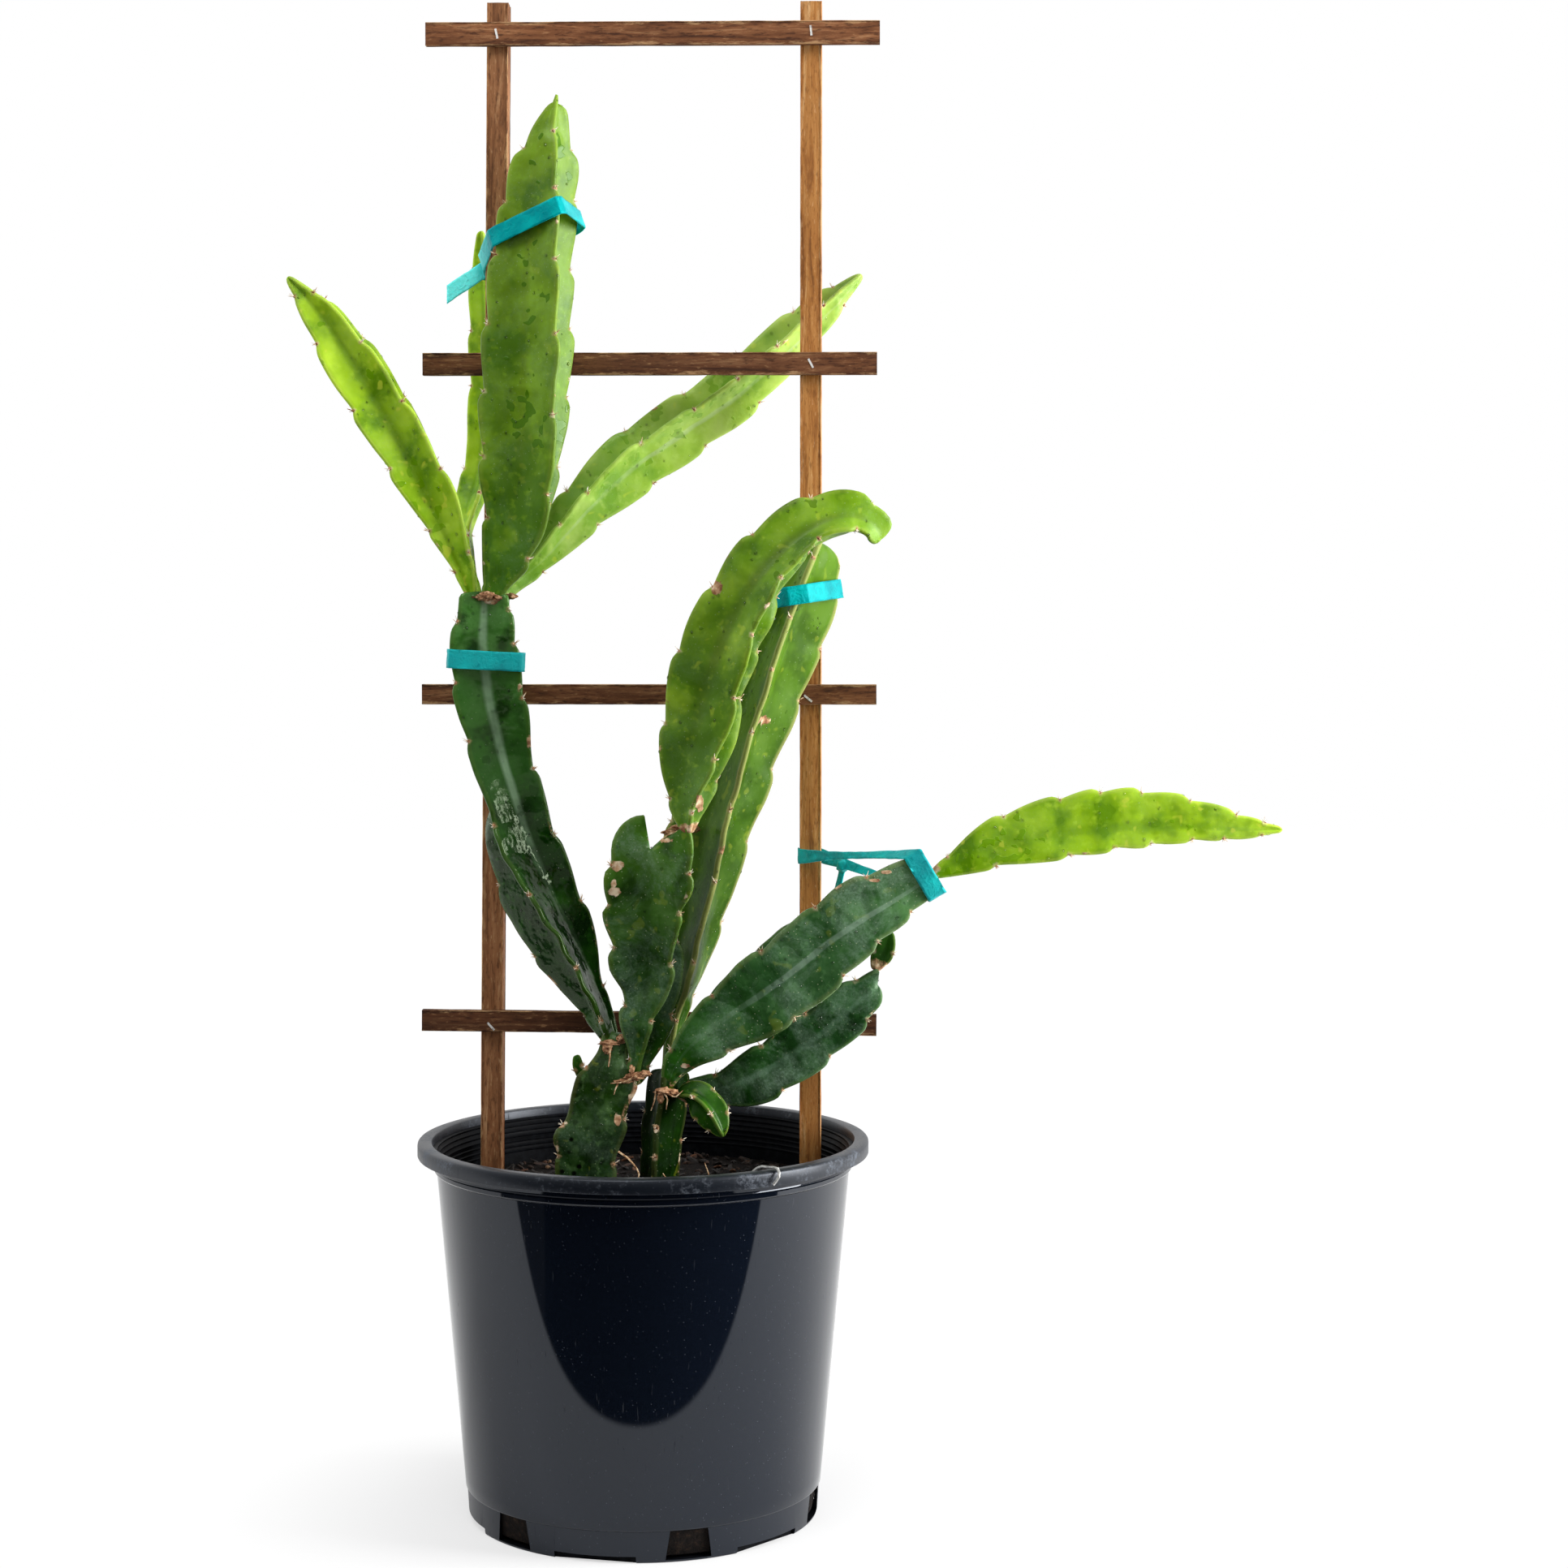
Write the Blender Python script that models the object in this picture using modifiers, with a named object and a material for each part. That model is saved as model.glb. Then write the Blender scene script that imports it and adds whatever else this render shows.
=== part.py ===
"""Dragon fruit cactus in a nursery pot, with a small wooden ladder trellis and four tape ties.

Units are metres and +Z is up. The origin is on the pot's axis, on the surface that the pot stands on.
The camera side of the plant is -Y. Lengths in the tables below are in millimetres.
"""
import math
import random

import bmesh
import bpy
import numpy as np
from mathutils import Matrix, Vector

MM = 0.001
FIT_GAP = 0.3

# Pot: a three-gallon nursery pot, turned
POT_HEIGHT = 231.0
RIM_RADIUS = 140.0
RIM_INNER_RADIUS = 131.0
RIM_SKIRT_HEIGHT = 9.0
SHOULDER_RADIUS = 128.0
LEDGE_RADIUS = 110.2
LEDGE_HEIGHT = 19.0
FOOT_RADIUS = 108.0
POT_WALL = 1.9
POT_FLOOR = 2.5
RIDGE_HEIGHT = 215.0
POT_SIDES = 40
DRAIN_HOLES = 6
DRAIN_FIRST_ANGLE = 17.0
DRAIN_WIDTH_LOW = 28.0
DRAIN_WIDTH_HIGH = 23.0
DRAIN_FROM = 1.5
SLIT_HEIGHT = 4.0
SLIT_WIDTH = 50.0
SLIT_INNER_RADIUS = 103.0

# Soil
SOIL_TOP = 199.5
SOIL_CLEARANCE = 0.4

# Trellis: two stakes and four crossbars, stapled
STAKE_WIDTH = 14.0
STAKE_LENGTH = 807.0
STAKE_FOOT = 140.0
STAKE_POINT_LENGTH = 45.0
STAKE_POINT_WIDTH = 4.0
CROSSBAR_LENGTH = 289.0
CROSSBAR_DEPTH = 6.0
CROSSBAR_HEIGHTS = (15.3, 14.7, 13.2, 13.8)
CROSSBAR_LEVELS = (926.0, 716.0, 506.0, 297.5)
CROSSBAR_TILTS = (0.0, 0.0, 0.0, 0.45)
CROSSBAR_OFFSETS = (0.4, -1.4, -1.8, -1.8)
TRELLIS_FRONT = 32.0
TRELLIS_YAW = -1.4
LEFT_STAKE_X = -97.6
LEFT_STAKE_LEAN = 0.32
RIGHT_STAKE_X = 104.2
RIGHT_STAKE_LEAN = 0.05
STAPLE_CROWN = 6.4
STAPLE_LEG = 11.0
STAPLE_WIRE = 1.3
STAPLE_SINK = 0.25
STAPLE_SLANTS = ((78, 85), (35, 62), (80, 40), (48, 75))
STAPLE_OFFSETS = (((0.0, 0.0), (0.0, 1.0)), ((0.0, 0.0), (0.0, 0.0)), ((0.0, 0.0), (-1.5, -2.5)),
                  ((0.0, -2.5), (0.0, 0.0)))

# Ties: soft garden tape
TAPE_WIDTH = 12.0
TAPE_THICKNESS = 0.8
TAPE_CLEARANCE = 0.5
NARROW_TAPE_WIDTH = 9.5
KNOT_TAIL_WIDTH = 5.0
CORNER_STEP = 50.0
TWIST_STEPS = 6
TWIST_PINCH = 0.45
KNOT_AT = (125.0, 35.4, 397.0)
KNOT_RADIUS = 5.0
UPPER_TAIL = ((-104, 50, 777), (-106, 50, 777), (-109, 50, 775), (-115, 51, 771), (-122, 52, 767),
              (-129, 53, 762))
KNOT_TAIL = (KNOT_AT, (123.5, 37, 390), (121.5, 38.5, 382))

# Wire hooked over the rim: path as distance from the pot's axis, run round the rim, and height
WIRE_WIDTH = 1.8
WIRE_POINTS = 16
WIRE_ANGLE = 34.5
WIRE_PATH = ((121, -6, 218), (123.5, -4, 226), (128.5, 0, 231.8), (134, 3, 232.3), (140.5, 5, 232.3),
             (143, 4, 228), (141.6, 1, 223.5))

# Stems
RING_STEP = 9.0
SHOULDER_AT = 0.82
CROWN_RISE = 26.0
STUB_RADIUS = 8.5
SPINE_LENGTH = 3.4
SPINE_RADIUS = 0.55
SPINE_TIP_RADIUS = 0.08
SPINE_ROOT = 1.4
SEAT_DEPTH = 34.0
SEAT_GAP = 0.4
TOWARD_CAMERA = Vector((0.0, -1.0, 0.0))

parts = bpy.data.collections.new("dragon_fruit_cactus")
cutters = bpy.data.collections.new("cutters")


def clear_scene():
    for old in list(bpy.data.objects):
        bpy.data.objects.remove(old)
    bpy.context.scene.collection.children.link(parts)
    bpy.context.scene.collection.children.link(cutters)


def srgb(hex_colour):
    """Linear colour of an sRGB hex value."""
    values = [int(hex_colour[i:i + 2], 16) / 255 for i in (1, 3, 5)]
    return [v / 12.92 if v <= 0.04045 else ((v + 0.055) / 1.055) ** 2.4 for v in values] + [1.0]


def finish(name, hex_colour, roughness, metallic=0.0):
    made = bpy.data.materials.new(name)
    made.use_nodes = True
    shader = made.node_tree.nodes["Principled BSDF"]
    shader.inputs["Base Color"].default_value = srgb(hex_colour)
    shader.inputs["Roughness"].default_value = roughness
    shader.inputs["Metallic"].default_value = metallic
    return made


def place(obj, collection, material=None):
    for old in list(obj.users_collection):
        old.objects.unlink(obj)
    collection.objects.link(obj)
    if material:
        obj.data.materials.clear()
        obj.data.materials.append(material)
    if collection is cutters:
        obj.hide_render = True
        obj.display_type = "WIRE"
    return obj


def new_object(name, bm, collection, material=None):
    mesh = bpy.data.meshes.new(name)
    bm.to_mesh(mesh)
    bm.free()
    obj = bpy.data.objects.new(name, mesh)
    bpy.context.scene.collection.objects.link(obj)
    return place(obj, collection, material)


def box(name, size, location, collection, material=None):
    """A cuboid of the given size, in millimetres, with its scale applied."""
    bpy.ops.mesh.primitive_cube_add(size=1.0)
    obj = bpy.context.active_object
    obj.name = name
    obj.data.transform(Matrix.Diagonal((size[0] * MM, size[1] * MM, size[2] * MM, 1.0)))
    obj.location = Vector(location) * MM
    return place(obj, collection, material)


def turned(name, profile, collection, material=None):
    """A solid of revolution. The profile runs down its outer side, with both ends on the axis."""
    bm = bmesh.new()
    points = [bm.verts.new((radius * MM, 0.0, height * MM)) for radius, height in profile]
    for above, below in zip(points, points[1:]):
        bm.edges.new((above, below))
    obj = new_object(name, bm, collection, material)
    screw = obj.modifiers.new("turn", "SCREW")
    screw.steps = POT_SIDES
    screw.render_steps = POT_SIDES
    screw.use_merge_vertices = True
    screw.merge_threshold = 0.00001
    apply_modifiers(obj)
    shade_round(obj)
    return obj


def prism(name, outline, depth, collection, material=None):
    """A flat outline, in millimetres, made into a plate of the given depth about its own plane."""
    curve = bpy.data.curves.new(name, "CURVE")
    curve.dimensions = "2D"
    curve.fill_mode = "BOTH"
    curve.extrude = depth / 2 * MM
    line = curve.splines.new("POLY")
    line.points.add(len(outline) - 1)
    for point, (x, y) in zip(line.points, outline):
        point.co = (x * MM, y * MM, 0.0, 1.0)
    line.use_cyclic_u = True
    made = bpy.data.objects.new(name, curve)
    return curve_to_mesh(made, collection, material)


def curve_to_mesh(made, collection, material=None):
    """Replaces a curve object with a closed mesh object of the same name."""
    bpy.context.scene.collection.objects.link(made)
    bpy.context.view_layer.update()
    name = made.name
    mesh = bpy.data.meshes.new_from_object(made.evaluated_get(bpy.context.evaluated_depsgraph_get()))
    matrix = made.matrix_world.copy()
    curve = made.data
    bpy.data.objects.remove(made)
    bpy.data.curves.remove(curve)
    bm = bmesh.new()
    bm.from_mesh(mesh)
    bpy.data.meshes.remove(mesh)
    bmesh.ops.remove_doubles(bm, verts=bm.verts, dist=0.000005)
    bmesh.ops.recalc_face_normals(bm, faces=bm.faces)
    obj = new_object(name, bm, collection, material)
    obj.matrix_world = matrix
    return obj


def cut(obj, cutter, operation="DIFFERENCE", solver="EXACT"):
    joined = obj.modifiers.new(cutter.name, "BOOLEAN")
    joined.solver = solver
    joined.operation = operation
    joined.object = cutter


def apply_modifiers(obj):
    bpy.context.view_layer.update()
    evaluated = obj.evaluated_get(bpy.context.evaluated_depsgraph_get())
    mesh = bpy.data.meshes.new_from_object(evaluated)
    obj.modifiers.clear()
    obj.data = mesh


def shade_round(obj, angle=40.0):
    """Smooth shading, with edges sharper than the angle kept crisp."""
    obj.data.shade_smooth()
    obj.data.set_sharp_from_angle(angle=math.radians(angle))


def spline(points):
    """Closely spaced points on a smooth curve (Catmull-Rom) through the given ones, and their run."""
    p = np.array(points, dtype=float)
    p = np.vstack([2 * p[0] - p[1], p, 2 * p[-1] - p[-2]])
    dense = []
    for i in range(1, len(p) - 2):
        for t in np.linspace(0.0, 1.0, 24, endpoint=False):
            dense.append(0.5 * (2 * p[i] + (p[i + 1] - p[i - 1]) * t
                                + (2 * p[i - 1] - 5 * p[i] + 4 * p[i + 1] - p[i + 2]) * t ** 2
                                + (3 * p[i] - p[i - 1] - 3 * p[i + 1] + p[i + 2]) * t ** 3))
    dense.append(p[-2])
    dense = np.array(dense)
    run = np.concatenate([[0.0], np.cumsum(np.linalg.norm(np.diff(dense, axis=0), axis=1))])
    return dense, run


def sample(dense, run, at):
    return np.column_stack([np.interp(at, run, dense[:, k]) for k in range(dense.shape[1])])


def profile(values, share):
    """Smooth value at a share (0 to 1) of the length, from values spaced evenly along it."""
    place_on = min(max(share, 0.0), 1.0) * (len(values) - 1)
    i = min(int(place_on), len(values) - 2)
    t = place_on - i
    before = values[i - 1] if i > 0 else 2 * values[0] - values[1]
    after = values[i + 2] if i + 2 < len(values) else 2 * values[-1] - values[-2]
    a, b = values[i], values[i + 1]
    return float(0.5 * (2 * a + (b - before) * t + (2 * before - 5 * a + 4 * b - after) * t ** 2
                        + (3 * a - before - 3 * b + after) * t ** 3))


def rib(turn, reach, areoles, crown=0.0, crest=0.2):
    """One rib of a stem: its angles and reaches, spaced evenly from the stem's foot to its tip.

    An angle of 0 is the stem's right side seen from -Y, 90 faces -Y and 180 is its left side.
    areoles are lengths from the foot, and crown is how far the rib stands past the stem's cut end.
    crest is the share of its reach that the rib still has at the stem's tip.
    """
    return {"turn": turn, "reach": reach, "areoles": areoles, "crown": crown, "crest": crest}


def stem(name, path, ribs, grows_on=None, finish_name="stem_mature", notch=3.0, core=9.0, edge=1.7,
         foot_round=7.0, tip_round=7.0, stub=None):
    """One jointed length of stem. stub is the height where its ribs start, above a round buried foot."""
    return {"name": name, "path": path, "ribs": ribs, "grows_on": grows_on, "finish": finish_name,
            "notch": notch, "core": core, "edge": edge, "foot_round": foot_round, "tip_round": tip_round,
            "stub": stub}


STEMS = [
    stem("base_stem_left",
         [(-34, 2, 168), (-34, 2, 200), (-31, 1, 232), (-25, 0, 260), (-19, 0, 283),
          (-17, 2, 296)],
         [rib([165, 165, 165, 165], [24, 23, 26, 21, 20, 18, 11, 9], (50, 68, 104)),
          rib([18, 18, 18, 15], [18, 18, 19, 21, 20, 21, 12, 8], (48, 79, 112)),
          rib([270, 270, 268, 265], [18, 18, 19, 19, 18, 17, 11, 9], (58, 94))],
         notch=2.5, core=10, stub=200.4, tip_round=5),
    stem("base_stem_centre",
         [(11, 6, 168), (11, 6, 200), (12, 5, 230), (15, 5, 255), (16, 4, 272)],
         [rib([112, 108, 104], [15, 15, 16, 16, 15], (52, 69, 92)),
          rib([-18, -15, -12], [12, 12, 13, 13, 13], (60, 84)),
          rib([215, 213, 210], [17, 17, 17, 17, 15], (50, 75))],
         notch=1.2, core=8.5, stub=200.4, tip_round=4),
    stem("left_arm_lower",
         [(-19, 3, 287), (-26, 4, 308), (-42, 5, 343), (-66, 7, 392), (-83, 10, 444),
          (-96, 13, 496), (-101, 14, 535), (-100, 15, 571)],
         [rib([102, 98, 130, 154, 148], [5, 18, 24, 26, 24, 22, 23.5, 23.5, 18.5],
              (18, 55, 108, 154, 208, 244, 279)),
          rib([-25, -20, -5, 22, 34], [5, 9, 19, 22, 20.5, 20.5, 26, 26, 19.5],
              (37, 90, 138, 182, 228, 265, 288)),
          rib([205, 208, 224, 258, 268], [5, 20, 31, 36, 35, 26, 19, 18, 15],
              (25, 72, 120, 165, 205, 240, 272))],
         grows_on="base_stem_left", finish_name="stem_dark", notch=2.8, tip_round=4),
    stem("left_arm_shoot",
         [(-108, 13, 564), (-115, 12, 583), (-129, 10, 615), (-149, 7, 657), (-173, 4, 700),
          (-199, 1, 740), (-222, 0, 767)],
         [rib([158, 154], [2.5, 7, 13, 17.5, 19.5, 19.5, 14, 2.5], (22, 52, 98, 141, 189, 222)),
          rib([30, 28], [3, 15, 21, 21, 19.5, 17, 12, 2.5], (30, 84, 131, 175, 216)),
          rib([-46, -48], [3, 12, 19, 23, 24, 23, 16, 2.5], (45, 90, 135, 178, 210))],
         grows_on="left_arm_lower", finish_name="stem_young", notch=2.8, core=6, edge=1.5,
         foot_round=4, tip_round=4),
    stem("left_arm_upright",
         [(-97, 9, 563), (-94, 11, 582), (-83, 12, 615), (-76, 12, 652), (-73, 12, 700),
          (-71, 13, 767), (-68, 13, 812), (-63, 12, 850), (-57, 12, 878)],
         [rib([170, 172, 174], [4, 16, 27, 31, 31, 29, 25, 19, 2.5], (52, 92, 135, 178, 221, 253, 287)),
          rib([20, 40, 47, 49, 52], [8, 26, 29, 29, 29, 28, 26, 18, 2.5],
              (35, 74, 121, 171, 218, 264, 300), crown=5, crest=0.7),
          rib([-30, -34, -32], [7, 20, 26, 30, 32, 31, 30, 27, 9], (50, 92, 135, 178, 215, 260, 292))],
         grows_on="left_arm_lower", finish_name="stem_upright", notch=3.8, tip_round=4, foot_round=5),
    stem("left_arm_back_shoot",
         [(-104, 23, 563), (-112, 36, 585), (-117, 51, 606), (-116, 66, 623), (-111, 77, 645),
          (-107, 82, 680), (-106, 82, 730), (-107, 79, 770), (-109, 74, 806)],
         [rib([190, 188], [3, 6, 11, 13, 13, 13, 13, 11, 3], (32, 70, 107, 163, 199, 236)),
          rib([66, 62], [3, 6, 9, 11, 11, 11, 9, 7, 2.5], (50, 88, 124, 180, 218)),
          rib([-55, -58], [3, 6, 8, 11, 11, 11, 9, 7, 2.5], (60, 98, 140, 185, 225))],
         grows_on="left_arm_lower", finish_name="stem_young", notch=2.5, core=5, edge=1.4,
         foot_round=4, tip_round=3),
    stem("left_arm_long_shoot",
         [(-93, 18, 563), (-83, 27, 578), (-64, 36, 597), (-39, 43, 626), (-11, 52, 653),
          (21, 61, 676), (53, 67, 698), (83, 71, 724), (111, 75, 751), (138, 78, 778)],
         [rib([186, 184], [4, 12, 17, 21, 22.5, 21.5, 21, 19, 15, 2.5], (45, 86, 138, 182, 228, 275, 305)),
          rib([112, 116], [3, 8, 13, 16, 17, 17, 16, 14, 10, 2.5],
              (26, 66, 92, 138, 180, 216, 250, 291)),
          rib([-14, -10], [4, 10, 15, 20, 21.5, 20, 18, 14, 10, 2.5], (38, 84, 132, 176, 219, 262, 302))],
         grows_on="left_arm_lower", finish_name="stem_young", core=6, edge=1.5, foot_round=4, tip_round=4),
    stem("notched_stem",
         [(-6, -3, 264), (-5, -4, 280), (-2, -8, 302), (4, -10, 324), (5, -13, 345), (4, -17, 372),
          (4, -20, 394), (5, -22, 412)],
         [rib([170, 170, 168], [5, 6, 13, 19, 26, 27, 29, 28, 25], (16, 48, 90, 116, 136),
              crown=21, crest=0.25),
          rib([40, 38, 34], [5, 7, 10, 15, 19, 22, 28, 35, 34], (44, 80, 113, 136), crown=18, crest=0.8),
          rib([0, -6, -18, -24], [5, 15, 20, 21, 21, 21, 21, 20, 16], (12, 50, 90, 128),
              crown=6, crest=0.6)],
         grows_on="base_stem_left", finish_name="stem_grey_green", notch=3.8, tip_round=10,
         foot_round=6),
    stem("curved_stem",
         [(29.5, -38.5, 423), (28, -37.5, 436), (29, -38, 458), (36, -39, 489), (44, -40, 519),
          (56, -40, 548), (72, -40, 575), (93, -37, 598), (113, -33, 611), (128, -29, 614),
          (140, -25, 610), (146, -22, 602)],
         [rib([180, 180], [4, 16, 23, 26, 28, 26, 26, 24, 20, 13], (21, 63, 105, 145, 180, 215, 241)),
          rib([75, 45, 35, 50, 55, 60, 60], [4, 18, 23, 24, 24, 22, 19, 15, 13, 11],
              (13, 49, 89, 131, 171, 206, 234)),
          rib([-15, -20, -25, -30, -40, -60], [4, 20, 26, 25, 25, 23, 17, 13, 12, 11],
              (34, 88, 123, 161, 199, 239))],
         grows_on="notched_stem", finish_name="stem_light", notch=3.2, tip_round=9, foot_round=5),
    stem("tall_back_stem",
         [(14, 10, 263), (16, 11, 285), (20, 11, 307), (26, 10, 331), (34, 9, 371), (42, 8, 411),
          (52, 8, 450), (65, 8, 489), (79, 9, 527), (94, 11, 565), (110, 14, 602)],
         [rib([80, 80, 78, 84, 90], [5, 7, 21, 30, 33, 33, 32, 28, 20, 12],
              (40, 80, 133, 178, 228, 268, 302, 342)),
          rib([-38, -36, -34], [5, 8, 16, 24, 29, 32, 33, 34, 33, 20],
              (56, 104, 158, 208, 256, 292, 331)),
          rib([205, 202, 200], [5, 7, 20, 31, 34, 35, 34, 31, 21, 12],
              (60, 110, 160, 210, 255, 296, 336))],
         grows_on="base_stem_centre", finish_name="stem_light", notch=3.2, core=10, foot_round=4,
         tip_round=9),
    stem("right_arm",
         [(15, -4, 264), (20, -7, 277), (31, -11, 292), (52, -15, 309), (74, -19, 324),
          (95, -22, 340), (116, -25, 357), (137, -27, 371), (160, -27, 385), (179, -26, 397)],
         [rib([158, 158], [5, 12, 18, 25, 26, 26, 28, 24, 16], (22, 62, 104, 146, 180)),
          rib([15, 12], [5, 15, 23, 27, 28, 26, 21, 16, 10], (49, 95, 134, 165, 192)),
          rib([222, 224], [5, 12, 20, 28, 31, 28, 25, 21, 14], (40, 85, 130, 170))],
         grows_on="base_stem_centre", finish_name="stem_grey_green", core=10, tip_round=9),
    stem("right_arm_shoot",
         [(178, -26, 396), (186, -26, 400), (208, -27, 411), (234, -28, 418), (260, -28, 422),
          (286, -27, 425), (313, -26, 426), (340, -25, 426), (366, -24, 424), (394, -23, 424)],
         [rib([178, 178], [3, 11, 19, 23, 25, 25, 22, 17, 10, 1.8],
              (14, 52, 86, 110, 134, 163, 192, 210)),
          rib([8, 12], [3, 11, 15, 16, 16, 14, 12, 9, 6, 1.8], (40, 87, 116, 139, 165, 185, 208)),
          rib([-65, -50, -40], [3, 9, 12, 13, 13, 13, 12, 10, 7, 1.8], (30, 62, 98, 128, 158, 188))],
         grows_on="right_arm", finish_name="stem_young", notch=2.9, core=6, edge=1.4, foot_round=4,
         tip_round=3),
    stem("right_lower_arm",
         [(19, 9, 260), (32, 9, 260), (47, 8, 261), (64, 7, 267), (80, 7, 275), (96, 7, 285),
          (111, 7, 296), (124, 7, 307), (136, 7, 317), (146, 7, 325)],
         [rib([158, 158], [4, 9, 14, 18, 20, 20, 19, 17, 12], (27, 64, 100, 136),
              crown=6, crest=0.8),
          rib([5, 8], [4, 11, 18, 20, 20, 19, 18, 16, 10], (30, 62, 96, 128)),
          rib([272, 268], [4, 9, 14, 16, 17, 17, 16, 14, 8], (45, 80, 115))],
         grows_on="base_stem_centre", finish_name="stem_dark", notch=3.2, core=8, foot_round=4,
         tip_round=8),
    stem("right_lower_offset",
         [(144, 7, 334), (147, 8, 340), (151, 9, 347), (154, 10, 358)],
         [rib([170, 170], [3, 7, 8, 3], (10, 20)),
          rib([20, 20], [3, 6.5, 6, 3], (14,)),
          rib([275, 275], [2.5, 4.5, 4.5, 3], (18,))],
         grows_on="right_lower_arm", finish_name="stem_light", notch=0.8, core=3, edge=1.1,
         foot_round=2, tip_round=2),
    stem("centre_offset",
         [(21, -2, 257), (29, -7, 259), (37, -12, 255), (44, -15, 246), (50, -17, 234)],
         [rib([200, 190, 185], [2.5, 9, 11, 11, 9, 2.5], (20, 34)),
          rib([-8, -8], [2.5, 9, 11.5, 12, 9, 2.5], (10, 26, 38)),
          rib([84, 84], [2.5, 7, 8, 8, 6, 2.5], (16, 30))],
         grows_on="base_stem_centre", finish_name="stem_light", notch=1.5, core=5, edge=1.2,
         foot_round=3, tip_round=3),
    stem("left_sprout",
         [(-34, 0, 263), (-38, 0, 267), (-40, 0, 274), (-42, 0, 282)],
         [rib([175, 175], [1.8, 2.8, 4.2, 2.4], (12,)),
          rib([20, 20], [1.8, 2.6, 3.2, 2.4], (14,)),
          rib([275, 275], [1.8, 2.6, 3.4, 2.4], (16,))],
         grows_on="base_stem_left", finish_name="stem_light", notch=0.5, core=2, edge=0.8,
         foot_round=1.5, tip_round=1.5),
]


def stem_frame(spec):
    """Dense centre line of a stem, in millimetres, with its run of lengths."""
    return spline(spec["path"])


def axes_at(dense, run, at):
    """Centre, direction, right side and camera side of a stem at a length along it."""
    span = run[-1]
    step = 1.5
    centre = sample(dense, run, [at])[0]
    ahead = sample(dense, run, [min(at + step, span)])[0]
    behind = sample(dense, run, [max(at - step, 0.0)])[0]
    along = Vector(ahead - behind).normalized()
    side = along.cross(TOWARD_CAMERA).normalized()
    front = side.cross(along).normalized()
    return Vector(centre), along, side, front


def foot_length(spec):
    """Length of the round buried foot of a stem that stands in the soil."""
    if spec["stub"] is None:
        return 0.0
    return spec["stub"] - spec["path"][0][2]


def stub_radius(spec):
    return min(spec["core"], STUB_RADIUS)


def lobe_phase(areoles, at):
    """Share (0 to 1) of the way from one areole to the next along a rib's margin."""
    marks = list(areoles)
    if len(marks) == 1:
        marks.append(marks[0] + 12.0)
    while marks[0] > at:
        marks.insert(0, 2 * marks[0] - marks[1])
    while marks[-1] <= at:
        marks.append(2 * marks[-1] - marks[-2])
    k = max(i for i, mark in enumerate(marks) if mark <= at)
    return (at - marks[k]) / (marks[k + 1] - marks[k])


def lobe_wave(phase):
    """Outline of one lobe of a margin: it swells slowly up to its shoulder, then steps in to the areole."""
    if phase < SHOULDER_AT:
        return math.sin(0.5 * math.pi * phase / SHOULDER_AT) ** 1.25
    return math.cos(0.5 * math.pi * (phase - SHOULDER_AT) / (1.0 - SHOULDER_AT)) ** 0.8


def rib_reach(spec, rib_spec, at, span):
    """Distance of a rib's margin from the centre line, with its waved margin and rounded ends."""
    start = foot_length(spec)
    reach = profile(rib_spec["reach"], (at - start) / (span - start))
    wave = lobe_wave(lobe_phase(rib_spec["areoles"], at))
    depth = spec["notch"] * min(1.0, reach / 15.0)
    reach -= depth * (1.0 - wave)
    return float(max(reach, 1.2) * end_round(spec, at, span, rib_spec["crest"]))


def end_round(spec, at, span, crest=0.2):
    """Share that is left of a stem's width near its rounded ends. crest is the share left at the tip."""
    share = 1.0
    tip, foot = spec["tip_round"], spec["foot_round"]
    if at > span - tip:
        share *= math.sqrt(max(0.0, 1.0 - (1.0 - (span - at) / tip) ** 2)) * (1.0 - crest) + crest
    if spec["stub"] is None and at < foot:
        share *= math.sqrt(max(0.0, 1.0 - (1.0 - at / foot) ** 2)) * 0.4 + 0.6
    return share


def ring_places(spec, span):
    """Lengths at which a stem gets a ring of points, closer together at its ends."""
    start = foot_length(spec)
    count = max(3, round((span - start) / RING_STEP))
    inner = list(np.linspace(start + 1.2, span, count + 1))
    ends = [span - spec["tip_round"] * share for share in (0.12, 0.5) if spec["tip_round"] > 1.0]
    inner = [s for s in inner if all(abs(s - e) > 1.6 for e in ends)] + ends
    if start:
        inner += [0.0, start]
    return sorted(set([0.0] + inner)) if not start else sorted(set(inner))


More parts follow.
